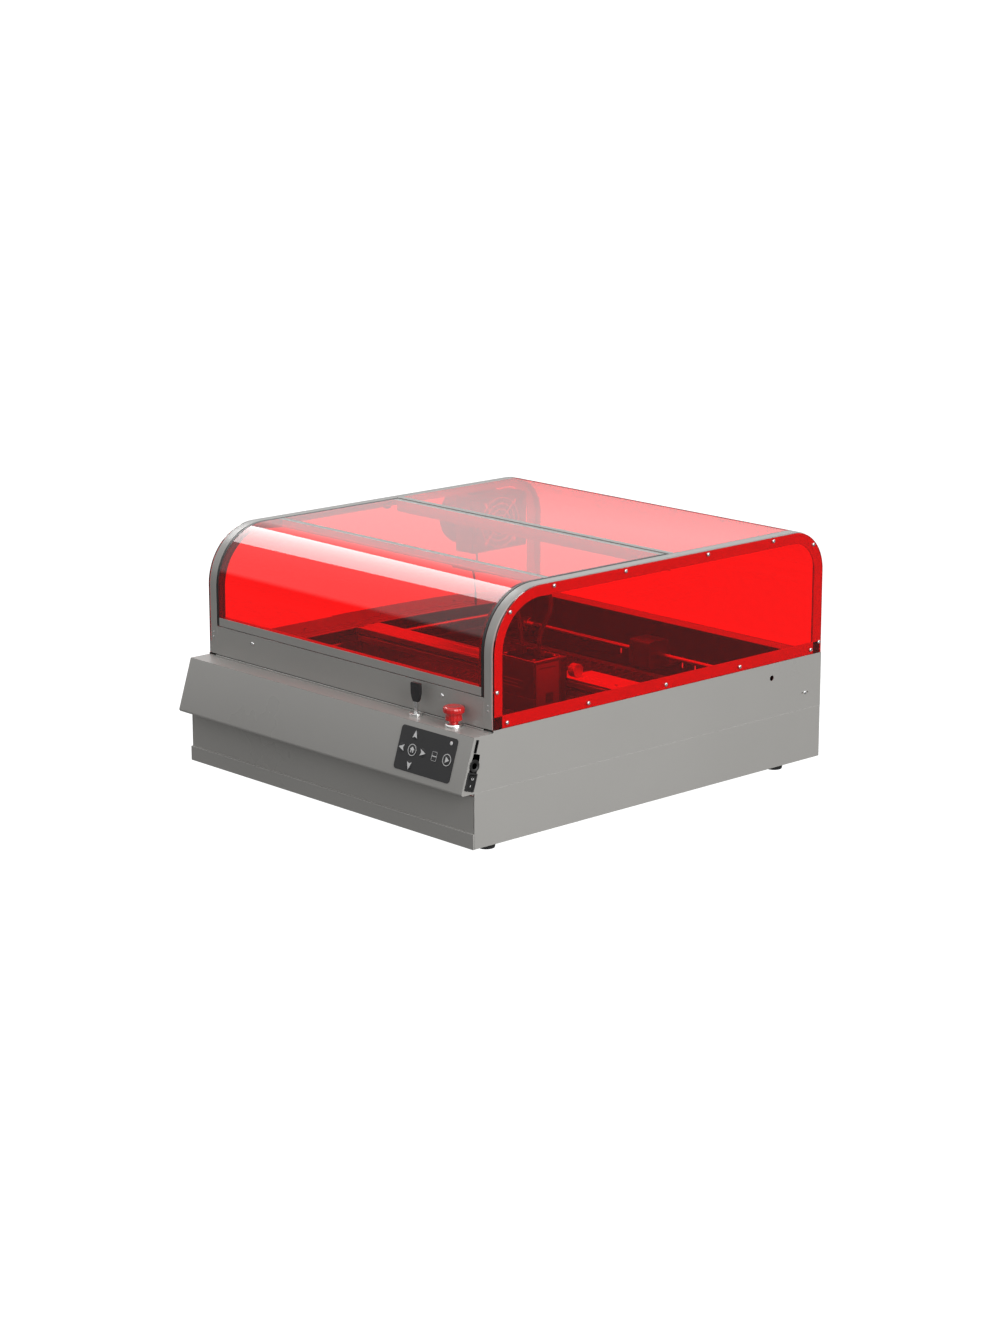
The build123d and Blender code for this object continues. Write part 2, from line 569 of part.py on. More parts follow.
def make_console_shell():
    """Bent sheet between the side walls: sloping face, rounded lower edge, underside and hem."""
    outer = [(0, DECK_Z), (-CONSOLE_REACH, SEAM_Z + CONSOLE_BOTTOM),
             (-CONSOLE_REACH + CONSOLE_CORNER, SEAM_Z), (0, SEAM_Z)]
    slope = math.radians(FACE_ANGLE)
    in_y = SHEET / math.cos(slope)
    top_y = in_y - SHEET * math.tan(slope)
    inner = [(0, SEAM_Z + SHEET), (-CONSOLE_REACH + CONSOLE_CORNER + SHEET / 2, SEAM_Z + SHEET),
             (-CONSOLE_REACH + in_y, SEAM_Z + CONSOLE_BOTTOM + SHEET / 2),
             (top_y, DECK_Z - SHEET), (0, DECK_Z - SHEET)]
    across = (-WALL_IN, WALL_IN)
    past = (-HALF_WIDTH, HALF_WIDTH)
    shell = slab_yz(outer, across) - slab_yz(inner, past)
    shell += block(across, (-HEM_DEPTH, 0), (SEAM_Z - HEM_HEIGHT, SEAM_Z))
    for x, down, key in key_places().values():
        shell -= on_face(x, down) * extrude(offset(key, KEY_GAP), OVERSIZE, both=True)
    return shell


def make_front_apron():
    """Upright panel between the arches' front legs, under the lid."""
    across = (-RIM_IN, RIM_IN)
    top = DECK_Z + APRON_TOP
    apron = block(across, (ARCH_SETBACK, ARCH_SETBACK + SHEET), (DECK_Z, top))
    apron += block(across, (ARCH_SETBACK, ARCH_SETBACK + LID_RAIL_DEPTH), (top - SHEET, top))
    apron += block(across, (ARCH_SETBACK - APRON_HEM, ARCH_SETBACK), (DECK_Z, DECK_Z + SHEET))
    hole_y = (ARCH_SETBACK - OVERSIZE, ARCH_SETBACK + OVERSIZE)
    for x in (-APRON_SCREW_X, APRON_SCREW_X):
        apron -= rod_y(x, hole_y, top - APRON_SCREW_DROP, SCREW_HOLE_R)
    return apron


def make_arch_frame():
    """Right-hand arch: a rim strip on edge, and a flange all round that takes the side window."""
    rim = (RIM_IN, FLANGE_OUT)
    past = (RIM_IN - OVERSIZE, FLANGE_OUT + OVERSIZE)
    arch = hood_slab(0, SHOULDER_Z, rim) - hood_slab(SHEET, SHOULDER_Z + SHEET, past)
    flange_x = (FLANGE_OUT - SHEET, FLANGE_OUT)
    arch += hood_slab(0, SHOULDER_Z, flange_x) - hood_slab(ARCH_FLANGE, SHOULDER_Z + ARCH_FLANGE, past)
    for y, z in window_screw_places():
        arch -= rod_x(past, y, z, SCREW_HOLE_R)
    for rise in RIM_SCREW_RISES:
        arch -= rod_y(RIM_SCREW_X, (ARCH_SETBACK - OVERSIZE, ARCH_SETBACK + OVERSIZE), SHOULDER_Z + rise,
                      RIM_SCREW_R)
    return arch


def make_side_window():
    """Right-hand side window: one tinted sheet screwed to the outside of the arch."""
    window = hood_slab(WINDOW_EDGE, SHOULDER_Z, (FLANGE_OUT, HALF_WIDTH))
    for y, z in window_screw_places():
        window -= rod_x((FLANGE_OUT - OVERSIZE, HALF_WIDTH + OVERSIZE), y, z, SCREW_HOLE_R)
    return window


def make_rear_window():
    """Fixed window behind the crossbar: flat top, bent corner, and back."""
    skin = hood_skin(0, ACRYLIC, (-RIM_IN, RIM_IN))
    start = LID_REAR_EDGE + CROSSBAR_GAP + CROSSBAR_WIDTH
    keep_y = (start, BODY_DEPTH + OVERSIZE)
    return skin & block((-HALF_WIDTH, HALF_WIDTH), keep_y, (SHOULDER_Z, HOOD_TOP + OVERSIZE))


def make_rear_crossbar():
    """Fixed bar between the arches, just behind the lid, with a flange down its front."""
    front = LID_REAR_EDGE + CROSSBAR_GAP
    top = HOOD_TOP + CROSSBAR_PROUD
    bar = block((-RIM_IN, RIM_IN), (front, front + CROSSBAR_WIDTH), (top - CROSSBAR_HEIGHT, top))
    bar += block((-RIM_IN, RIM_IN), (front, front + SHEET), (top - CROSSBAR_FLANGE, top))
    return bar


def make_pivot_pins():
    """Two stepped pins on the arch flanges, which carry the lid."""
    boss = rod_x((LID_HALF + LID_GAP / 2, FLANGE_OUT - SHEET), PIVOT_Y, PIVOT_Z, PIVOT_BOSS_R)
    pin = rod_x((GLASS_HALF - LID_LEDGE, FLANGE_OUT - SHEET), PIVOT_Y, PIVOT_Z, PIVOT_R)
    return both_sides(boss + pin)


def make_screw():
    """Pan-head screw: head outside the surface at x = 0, shank inwards."""
    head = Pos(SCREW_HEAD_HEIGHT / 2, 0, 0) * Rot(0, 90, 0) * Cylinder(SCREW_HEAD_R, SCREW_HEAD_HEIGHT)
    head = fillet(head.edges().filter_by(GeomType.CIRCLE).sort_by(Axis.X)[-1], SCREW_HEAD_HEIGHT / 2)
    shank = Pos(-SCREW_LENGTH / 2, 0, 0) * Rot(0, 90, 0) * Cylinder(SCREW_R, SCREW_LENGTH)
    return head + shank


def make_panel_screws():
    """Every visible screw: side windows, apron, arch rims and the rear of the side wall."""
    screw = make_screw()
    screws = []
    for y, z in window_screw_places():
        screws += both_sides(Pos(HALF_WIDTH, y, z) * screw)
    for x in (-APRON_SCREW_X, APRON_SCREW_X):
        screws.append(Pos(x, ARCH_SETBACK, DECK_Z + APRON_TOP - APRON_SCREW_DROP) * Rot(0, 0, -90) * screw)
    for rise in RIM_SCREW_RISES:
        rim_y = (ARCH_SETBACK - RIM_SCREW_PROUD, ARCH_SETBACK + SHEET)
        screws += both_sides(rod_y(RIM_SCREW_X, rim_y, SHOULDER_Z + rise, RIM_SCREW_R))
    side_y = BODY_DEPTH - sum(PIN_HOLE_REAR_INSETS) / 2
    screws.append(Pos(HALF_WIDTH, side_y, SHOULDER_Z - PIN_HOLE_DROP) * screw)
    return screws


def make_feet():
    """Four rubber feet under the corners."""
    x = HALF_WIDTH - FOOT_SIDE_INSET
    rows = (FOOT_FRONT_INSET, BODY_DEPTH - FOOT_REAR_INSET)
    return [rod_z(side * x, y, (0, FOOT_HEIGHT), FOOT_RADIUS) for side in (-1, 1) for y in rows]


def make_lid_interlock():
    """Safety switch on the back of the apron, with a plunger under the lid's rail."""
    top = DECK_Z + APRON_TOP - INTERLOCK_DROP
    x = (INTERLOCK_X - INTERLOCK_SIZE[0] / 2, INTERLOCK_X + INTERLOCK_SIZE[0] / 2)
    y = (ARCH_SETBACK + SHEET, ARCH_SETBACK + SHEET + INTERLOCK_SIZE[1])
    switch = block(x, y, (top - INTERLOCK_SIZE[2], top))
    tip_z = (top, DECK_Z + APRON_TOP - SHEET)
    return switch + rod_z(INTERLOCK_X, (y[0] + y[1]) / 2, tip_z, INTERLOCK_TIP_R)


# ---- lid -----------------------------------------------------------------------------------------
def lid_part(skin, y=(ARCH_SETBACK - OVERSIZE, LID_REAR_EDGE), low=LID_BOTTOM):
    """Cut a layer of the hood down to a stretch of the lid."""
    return skin & block((-HALF_WIDTH, HALF_WIDTH), y, (low, HOOD_TOP + OVERSIZE))


def make_lid_front_window():
    """Bent front window, from the lid's rail up to the stiffening bar."""
    skin = hood_skin(0, ACRYLIC, (-GLASS_HALF, GLASS_HALF))
    return lid_part(skin, (0, LID_BAR_FRONT), LID_BOTTOM + LID_RAIL_HEIGHT)


def make_lid_top_window():
    """Flat top window between the lid's two bars."""
    skin = hood_skin(0, ACRYLIC, (-GLASS_HALF, GLASS_HALF))
    return lid_part(skin, (LID_BAR_FRONT + LID_BAR_WIDTH, LID_REAR_EDGE - LID_BAR_WIDTH))


def make_lid_side_frames():
    """Bent side strips with a ledge under the windows and a lug round each pivot pin."""
    strip = lid_part(hood_skin(0, LID_FRAME_DEPTH, (GLASS_HALF, LID_HALF)))
    ledge_x = (GLASS_HALF - LID_LEDGE, GLASS_HALF)
    ledge = lid_part(hood_skin(ACRYLIC, LID_FRAME_DEPTH, ledge_x), low=LID_BOTTOM + LID_RAIL_HEIGHT)
    lug = rod_x((GLASS_HALF, LID_HALF), PIVOT_Y, PIVOT_Z, PIVOT_LUG_R)
    frame = strip + ledge + lug
    bore_x = (GLASS_HALF - LID_LEDGE - OVERSIZE, LID_HALF + OVERSIZE)
    return both_sides(frame - rod_x(bore_x, PIVOT_Y, PIVOT_Z, PIVOT_R + BORE_GAP))


def make_lid_front_rail():
    """Folded rail along the lid's lower edge."""
    rail = block((-GLASS_HALF, GLASS_HALF), (ARCH_SETBACK, ARCH_SETBACK + LID_RAIL_DEPTH),
                 (LID_BOTTOM, LID_BOTTOM + LID_RAIL_HEIGHT))
    hollow_y = (ARCH_SETBACK + SHEET, ARCH_SETBACK + LID_RAIL_DEPTH + OVERSIZE)
    hollow = block((-GLASS_HALF + SHEET, GLASS_HALF - SHEET), hollow_y,
                   (LID_BOTTOM + SHEET, LID_BOTTOM + LID_RAIL_HEIGHT - SHEET))
    return rail - hollow


def make_lid_crossbars():
    """Stiffening bar behind the bend, and the bar along the lid's rear edge."""
    bars = []
    for front in (LID_BAR_FRONT, LID_REAR_EDGE - LID_BAR_WIDTH):
        y = (front, front + LID_BAR_WIDTH)
        top = block((-GLASS_HALF, GLASS_HALF), y, (HOOD_TOP - ACRYLIC, HOOD_TOP))
        web_half = GLASS_HALF - LID_LEDGE
        web = block((-web_half, web_half), y, (HOOD_TOP - LID_BAR_DEPTH, HOOD_TOP - ACRYLIC))
        bars.append(top + web)
    return bars


# ---- console fittings ----------------------------------------------------------------------------
def key_places():
    """Name, place on the face (x, down) and outline of every push button on the keypad."""
    home_x = PAD_LEFT + HOME_KEY_INSET
    round_key = Circle(ROUND_KEY_R)
    arrow_key = Circle(ARROW_KEY_R)
    return {
        "home_button": (home_x, KEY_ROW, round_key),
        "up_button": (home_x, KEY_ROW - ARROW_SPREAD, arrow_key),
        "down_button": (home_x, KEY_ROW + ARROW_SPREAD, arrow_key),
        "left_button": (home_x - ARROW_SPREAD, KEY_ROW, arrow_key),
        "right_button": (home_x + ARROW_SPREAD, KEY_ROW, arrow_key),
        "frame_button": (PAD_LEFT + STOP_KEY_INSET, KEY_ROW,
                         RectangleRounded(*STOP_KEY_SIZE, STOP_KEY_CORNER)),
        "start_button": (PAD_LEFT + START_KEY_INSET, KEY_ROW, round_key),
    }


def make_keypad_panel():
    """Thin panel with a hole for each button."""
    outline = RectangleRounded(PAD_WIDTH, PAD_HEIGHT, PAD_CORNER)
    panel = on_face(PAD_LEFT + PAD_WIDTH / 2, PAD_TOP + PAD_HEIGHT / 2) * extrude(outline, PAD_THICK)
    for x, down, key in key_places().values():
        panel -= on_face(x, down) * extrude(offset(key, KEY_GAP), OVERSIZE, both=True)
    return panel


def make_button(x, down, key):
    """Push button that stands a little proud of the keypad panel."""
    cap = extrude(key, KEY_DEPTH + PAD_THICK + KEY_PROUD)
    return on_face(x, down) * Pos(0, 0, -KEY_DEPTH) * cap


def make_key_switch_barrel():
    """Lock barrel through the deck."""
    barrel = rod_z(KEYSWITCH_X, KEYSWITCH_Y, (DECK_Z, DECK_Z + KEY_BEZEL_HEIGHT), KEY_BEZEL_R)
    barrel += rod_z(KEYSWITCH_X, KEYSWITCH_Y, (DECK_Z - KEY_BODY_LENGTH, DECK_Z), KEY_BODY_R)
    return barrel - rod_z(KEYSWITCH_X, KEYSWITCH_Y,
                          (DECK_Z - KEY_BODY_LENGTH + SHEET, DECK_Z + KEY_BEZEL_HEIGHT + OVERSIZE),
                          KEY_PLUG_R + BORE_GAP)


def make_key():
    """Key in its plug: the plug turns in the barrel, the blade and the moulded head stand above it."""
    blade_w, blade_t, blade_h = KEY_BLADE_SIZE
    head_w, head_t, head_h = KEY_HEAD_SIZE
    plug_top = DECK_Z + KEY_BEZEL_HEIGHT
    key = rod_z(KEYSWITCH_X, KEYSWITCH_Y, (DECK_Z - KEY_BODY_LENGTH + 2 * SHEET, plug_top), KEY_PLUG_R)
    key += block((KEYSWITCH_X - blade_w / 2, KEYSWITCH_X + blade_w / 2),
                 (KEYSWITCH_Y - blade_t / 2, KEYSWITCH_Y + blade_t / 2), (plug_top, plug_top + blade_h))
    head = extrude(Plane.XZ * RectangleRounded(head_w, head_h, KEY_HEAD_CORNER), head_t / 2, both=True)
    return key + Pos(KEYSWITCH_X, KEYSWITCH_Y, plug_top + blade_h + head_h / 2) * head


def make_estop_collar():
    """Silver collar on the deck and the switch body under it."""
    collar = rod_z(ESTOP_X, ESTOP_Y, (DECK_Z, DECK_Z + ESTOP_COLLAR_HEIGHT), ESTOP_COLLAR_R)
    collar += rod_z(ESTOP_X, ESTOP_Y, (DECK_Z - ESTOP_BODY_LENGTH, DECK_Z), ESTOP_BODY_R)
    bore_z = (DECK_Z - ESTOP_BODY_LENGTH + SHEET, DECK_Z + ESTOP_COLLAR_HEIGHT + OVERSIZE)
    return collar - rod_z(ESTOP_X, ESTOP_Y, bore_z, ESTOP_STEM_R + BORE_GAP)


def make_estop_button():
    """Mushroom head with a waist, on its stem."""
    low = ESTOP_COLLAR_HEIGHT + ESTOP_LIFT
    top = low + ESTOP_HEAD_HEIGHT
    stem_low = -ESTOP_BODY_LENGTH + SHEET + ESTOP_LIFT
    shoulder = top - ESTOP_CROWN
    profile = make_face(Polyline(
        (0, stem_low), (ESTOP_STEM_R, stem_low), (ESTOP_STEM_R, low), (ESTOP_WAIST_R, low),
        (ESTOP_WAIST_R - ESTOP_WAIST_IN, (low + shoulder) / 2), (ESTOP_HEAD_R, shoulder),
        (ESTOP_HEAD_R, top - ESTOP_EDGE), (ESTOP_HEAD_R - ESTOP_EDGE, top), (0, top), close=True))
    return Pos(ESTOP_X, ESTOP_Y, DECK_Z) * revolve(Plane.XZ * profile, Axis.Z)


def make_side_ports():
    """Card slot, USB socket and power jack in the right end wall, one solid each."""
    ports = []
    for down, setback, (width, height) in ((CARD_DOWN, CARD_SETBACK, CARD_SLOT),
                                           (USB_DOWN, PORT_SETBACK, USB_SLOT)):
        shell = Box(PORT_DEPTH, width + 2 * PORT_RIM, height + 2 * PORT_RIM)
        shell -= Pos(SHEET, 0, 0) * Box(PORT_DEPTH, width, height)
        ports.append(port_frame(down, setback) * Pos(-PORT_DEPTH / 2, 0, 0) * shell)
    turned = Rot(0, 90, 0)
    jack = Pos(-JACK_DEPTH / 2, 0, 0) * turned * Cylinder(JACK_R - PORT_RIM, JACK_DEPTH)
    jack += Pos(PORT_RIM / 2, 0, 0) * turned * Cylinder(JACK_R, PORT_RIM)
    jack -= turned * Cylinder(JACK_HOLE_R, JACK_DEPTH)
    jack += Pos(-JACK_DEPTH / 4, 0, 0) * turned * Cylinder(JACK_PIN_R, JACK_DEPTH / 2)
    ports.append(port_frame(JACK_DOWN, PORT_SETBACK) * jack)
    return ports


def make_rocker_frame():
    """Snap-in frame of the rocker switch, open at the front."""
    width, height = ROCKER_SIZE
    rim = Pos(ROCKER_PROUD / 2, 0, 0) * Box(ROCKER_PROUD, width, height)
    body = Pos(-ROCKER_DEPTH / 2, 0, 0) * Box(ROCKER_DEPTH, width - ROCKER_RIM, height - ROCKER_RIM)
    well_width, well_height = width - 2 * ROCKER_RIM, height - 2 * ROCKER_RIM
    well = Pos(-ROCKER_DEPTH / 2 + SHEET, 0, 0) * Box(ROCKER_DEPTH + OVERSIZE, well_width, well_height)
    return port_frame(ROCKER_DOWN, PORT_SETBACK) * (rim + body - well)


def make_rocker_paddle():
    """Rocking paddle with a shallow valley across its face."""
    half_h = ROCKER_SIZE[1] / 2 - ROCKER_RIM - 2 * RUN_GAP
    width = ROCKER_SIZE[0] - 2 * ROCKER_RIM - 2 * RUN_GAP
    proud = ROCKER_PADDLE_PROUD
    back = proud - ROCKER_PADDLE_THICK
    back_h = half_h - PADDLE_TAPER
    profile = [(proud, half_h), (proud - PADDLE_VALLEY, 0), (proud, -half_h),
               (back, -back_h), (back, back_h)]
    face = Plane.XZ * make_face(Polyline(*profile, close=True))
    paddle = extrude(face, width / 2, both=True)
    paddle += Rot(90, 0, 0) * Cylinder(PADDLE_PIN_R, width + 2 * PADDLE_PIN_PROUD)
    return port_frame(ROCKER_DOWN, PORT_SETBACK) * Rot(0, ROCKER_SWING, 0) * paddle


def make_control_board():
    """Circuit board on four pillars in the console's bay."""
    low = SEAM_Z + SHEET + BOARD_RISE
    board = block(BOARD_X, BOARD_Y, (low, low + BOARD_THICK))
    for x in (BOARD_X[0] + PILLAR_INSET, BOARD_X[1] - PILLAR_INSET):
        for y in (BOARD_Y[0] + PILLAR_INSET, BOARD_Y[1] - PILLAR_INSET):
            board += rod_z(x, y, (low - BOARD_RISE, low), PILLAR_R)
    step = (BOARD_X[1] - BOARD_X[0]) / (len(CHIP_SIZES) + 1)
    for i, (width, depth, height) in enumerate(CHIP_SIZES, start=1):
        middle = Pos(BOARD_X[0] + step * i, sum(BOARD_Y) / 2, low + BOARD_THICK + height / 2)
        board += middle * Box(width, depth, height)
    return board


# ---- exhaust fan ---------------------------------------------------------------------------------
def make_fan_housing():
    """Square fan frame against the left window, with a stator carried on struts."""
    x = (-FLANGE_OUT, FAN_INNER_X)
    y = (FAN_Y - FAN_WIDTH / 2, FAN_Y + FAN_WIDTH / 2)
    z = (FAN_Z - FAN_HEIGHT / 2, FAN_Z + FAN_HEIGHT / 2)
    past = (x[0] - OVERSIZE, x[1] + OVERSIZE)
    housing = block(x, y, z) - rod_x(past, FAN_Y, FAN_Z, FAN_BORE_R)
    stator = (x[0], x[0] + STATOR_THICK)
    housing += rod_x(stator, FAN_Y, FAN_Z, FAN_HUB_R)
    for i in range(STATOR_STRUTS):
        length = FAN_BORE_R - FAN_HUB_R + 2 * FAN_ROOT
        strut = Pos(sum(stator) / 2, 0, (FAN_BORE_R + FAN_HUB_R) / 2) * Box(
            STATOR_THICK, STATOR_STRUT_WIDTH, length)
        housing += Pos(0, FAN_Y, FAN_Z) * Rot(45 + 360 / STATOR_STRUTS * i, 0, 0) * strut
    return housing + rod_x((stator[0], stator[0] + FAN_SHAFT_LENGTH), FAN_Y, FAN_Z, FAN_SHAFT_R)


def make_fan_rotor():
    """Hub with pitched blades, running on the stator's pin."""
    x = (-FLANGE_OUT + STATOR_THICK + FAN_ROTOR_GAP, FAN_INNER_X - FAN_ROTOR_SETBACK)
    blade_length = FAN_TIP_R - FAN_HUB_R + FAN_ROOT
    blade = Rot(0, 0, FAN_BLADE_PITCH) * Box(FAN_BLADE_CHORD, FAN_BLADE_THICK, blade_length)
    blade = Pos(0, 0, FAN_TIP_R - blade_length / 2) * blade
    rotor = rod_x(x, FAN_Y, FAN_Z, FAN_HUB_R)
    for i in range(FAN_BLADES):
        rotor += Pos(sum(x) / 2, FAN_Y, FAN_Z) * Rot(360 / FAN_BLADES * i, 0, 0) * blade
    rotor &= rod_x(x, FAN_Y, FAN_Z, FAN_TIP_R)
    bore = (x[0] - OVERSIZE, -FLANGE_OUT + FAN_SHAFT_LENGTH + FAN_ROTOR_GAP)
    return rotor - rod_x(bore, FAN_Y, FAN_Z, FAN_SHAFT_R + BORE_GAP)


def make_fan_guard():
    """Finger guard: concentric rings on two crossed bars."""
    x = (FAN_INNER_X, FAN_INNER_X + GUARD_THICK)
    past = (x[0] - OVERSIZE, x[1] + OVERSIZE)
    middle = Pos(sum(x) / 2, FAN_Y, FAN_Z)
    bars = [middle * Rot(turn, 0, 0) * Box(GUARD_THICK, GUARD_WIRE, GUARD_SPAN) for turn in (45, -45)]
    guard = bars[0] + bars[1]
    for radius in GUARD_RING_RADII:
        ring = rod_x(x, FAN_Y, FAN_Z, radius + GUARD_WIRE / 2)
        guard += ring - rod_x(past, FAN_Y, FAN_Z, radius - GUARD_WIRE / 2)
    return guard


def make_duct_collar():
    """Round spigot outside the left window for an exhaust hose."""
    flange = (-HALF_WIDTH - DUCT_FLANGE_THICK, -HALF_WIDTH)
    collar = rod_x(flange, FAN_Y, FAN_Z, DUCT_FLANGE_R)
    collar += rod_x((-HALF_WIDTH - DUCT_LENGTH, -HALF_WIDTH), FAN_Y, FAN_Z, DUCT_R)
    past = (-HALF_WIDTH - DUCT_LENGTH - OVERSIZE, -HALF_WIDTH + OVERSIZE)
    return collar - rod_x(past, FAN_Y, FAN_Z, DUCT_R - DUCT_WALL)


def make_fan_cable():
    """Cable that runs straight down from the fan to the shoulder."""
    return rod_z(FAN_CABLE_X, FAN_CABLE_Y, (SHOULDER_Z, FAN_Z - FAN_HEIGHT / 2), FAN_CABLE_R)


# ---- bed and drawer ------------------------------------------------------------------------------
def make_work_bed():
    """Slatted bed: a rim that rests on the tray's flanges, and thin upright slats."""
    z = (SEAM_Z, SEAM_Z + BED_HEIGHT)
    rim = block((-BED_HALF_WIDTH, BED_HALF_WIDTH), (BED_FRONT, BED_BACK), z)
    inner = BED_HALF_WIDTH - BED_RIM
    slat_y = (BED_FRONT + BED_RIM, BED_BACK - BED_RIM)
    rim -= block((-inner, inner), slat_y, (z[0] - OVERSIZE, z[1] + OVERSIZE))
    pitch = 2 * inner / (BED_SLATS + 1)
    slat = block((-BED_SLAT_THICK / 2, BED_SLAT_THICK / 2), slat_y, z)
    return rim + [Pos(-inner + pitch * (i + 1), 0, 0) * slat for i in range(BED_SLATS)]


def make_debris_drawer():
    """Open tray under the bed, with a full-width front and a proud lip to pull it by."""
    front_half = WALL_IN - DRAWER_SIDE_GAP
    low = FLOOR_Z + DRAWER_FLOOR_RISE
    top = FLOOR_Z + DRAWER_TOP_RISE
    tray = block((-DRAWER_HALF_WIDTH, DRAWER_HALF_WIDTH), (SHEET, DRAWER_LENGTH), (low, top))
    inner = DRAWER_HALF_WIDTH - DRAWER_WALL
    hollow_y = (SHEET, DRAWER_LENGTH - DRAWER_WALL)
    tray -= block((-inner, inner), hollow_y, (low + DRAWER_WALL, top + OVERSIZE))
    flange_x = (DRAWER_HALF_WIDTH - DRAWER_WALL, DRAWER_HALF_WIDTH + DRAWER_FLANGE)
    tray += both_sides(block(flange_x, (SHEET, DRAWER_LENGTH), (top - DRAWER_WALL, top)))
    front_low = FLOOR_Z + SHEET + DRAWER_SIDE_GAP
    front_top = SEAM_Z - HEM_HEIGHT - DRAWER_TOP_GAP
    lip_top = FLOOR_Z + DRAWER_LIP_HEIGHT
    tray += block((-front_half, front_half), (0, SHEET), (front_low, front_top))
    tray += block((-front_half, front_half), (-RUN_GAP, 0), (front_low, lip_top))
    return tray + block((-HALF_WIDTH, HALF_WIDTH), (-DRAWER_LIP_PROUD, -RUN_GAP), (FLOOR_Z, lip_top))


def make_drawer_runners():
    """Two angle runners on the tray's side walls."""
    ledge_top = FLOOR_Z + DRAWER_TOP_RISE - DRAWER_WALL - RUN_GAP
    y = (SHEET + OVERSIZE, DRAWER_LENGTH + FOOT_FRONT_INSET)
    ledge = block((WALL_IN - RUNNER_LEDGE, WALL_IN), y, (ledge_top - SHEET, ledge_top))
    leg = block((WALL_IN - SHEET, WALL_IN), y, (ledge_top - RUNNER_LEG, ledge_top))
    return both_sides(ledge + leg)


# ---- gantry --------------------------------------------------------------------------------------
def belt_loop(length, radius, width):
    """Flat belt loop in the XY plane, centred on its two pulleys' middle, running along X."""
    outer = SlotCenterToCenter(length, 2 * (radius + BELT_GAP + BELT_THICK))
    inner = SlotCenterToCenter(length, 2 * (radius + BELT_GAP))
    return extrude(outer - inner, width / 2, both=True)


def make_guide_rods():
    """Two round rods that the gantry rides on."""
    y = (ROD_BRACKET_FRONT[0] + OVERSIZE, ROD_BRACKET_REAR[1] - OVERSIZE)
    return both_sides(rod_y(ROD_X, y, ROD_Z, ROD_R))


def make_rod_brackets():
    """Four brackets on the side walls, all of which hold a rod end.

    The front pair carries the idler pins, and the rear pair the cross shaft.
    """
    z = (Y_AXIS_Z - 2 * Y_SHAFT_R, ROD_Z + ROD_BRACKET_RISE)
    rod_y_span = (ROD_BRACKET_FRONT[0] + OVERSIZE, ROD_BRACKET_REAR[1] - OVERSIZE)
    rod_hole = rod_y(ROD_X, rod_y_span, ROD_Z, ROD_R)
    front = block((ROD_BRACKET_INNER, WALL_IN), ROD_BRACKET_FRONT, z) - rod_hole
    front += rod_x((Y_PULLEY_X - Y_PULLEY_WIDTH / 2, ROD_BRACKET_INNER), Y_IDLER_Y, Y_AXIS_Z, Y_IDLER_PIN_R)
    rear = block((ROD_BRACKET_INNER, WALL_IN), ROD_BRACKET_REAR, z) - rod_hole
    rear -= rod_x((0, WALL_IN - SHEET), Y_DRIVE_Y, Y_AXIS_Z, Y_SHAFT_R + BORE_GAP)
    return both_sides(front) + both_sides(rear)


def make_y_belts():
    """Two belts that pull the gantry along."""
    loop = belt_loop(Y_DRIVE_Y - Y_IDLER_Y, Y_PULLEY_R, BELT_WIDTH)
    upright = Pos(Y_PULLEY_X, (Y_DRIVE_Y + Y_IDLER_Y) / 2, Y_AXIS_Z) * Rot(0, 90, 0) * Rot(0, 0, 90) * loop
    return both_sides(upright)


def y_pulley(bore):
    """Flanged belt pulley about the X axis, centred on its belt."""
    middle = rod_x((-Y_PULLEY_WIDTH / 2, Y_PULLEY_WIDTH / 2), 0, 0, Y_PULLEY_R)
    for side in (-1, 1):
        inner = side * (Y_PULLEY_WIDTH / 2 - Y_FLANGE_THICK)
        middle += rod_x(sorted((inner, side * Y_PULLEY_WIDTH / 2)), 0, 0, Y_FLANGE_R)
    return middle - rod_x((-Y_PULLEY_WIDTH, Y_PULLEY_WIDTH), 0, 0, bore)


def make_y_drive_shaft():
    """Cross shaft with a pulley near each end."""
    shaft = rod_x((-WALL_IN + 2 * SHEET, WALL_IN - 2 * SHEET), Y_DRIVE_Y, Y_AXIS_Z, Y_SHAFT_R)
    pulley = Pos(Y_PULLEY_X, Y_DRIVE_Y, Y_AXIS_Z) * y_pulley(Y_SHAFT_R)
    return shaft + both_sides(pulley)


def make_y_idlers():
    """Two idler pulleys on the front brackets' pins."""
    return both_sides(Pos(Y_PULLEY_X, Y_IDLER_Y, Y_AXIS_Z) * y_pulley(Y_IDLER_PIN_R + BORE_GAP))


def make_y_motor():
    """Double-shaft stepper motor round the middle of the cross shaft, on a foot from the rear wall."""
    section = Plane.YZ * RectangleRounded(MOTOR_SIZE, MOTOR_SIZE, MOTOR_CORNER)
    body = Pos(0, Y_DRIVE_Y, Y_AXIS_Z) * extrude(section, Y_MOTOR_LENGTH / 2, both=True)
    low = Y_AXIS_Z - MOTOR_SIZE / 2
    body += block((-Y_MOTOR_LENGTH / 2, Y_MOTOR_LENGTH / 2), (Y_DRIVE_Y, REAR_IN), (low, low + SHEET))
    return body - rod_x((-Y_MOTOR_LENGTH, Y_MOTOR_LENGTH), Y_DRIVE_Y, Y_AXIS_Z, Y_SHAFT_R + BORE_GAP)


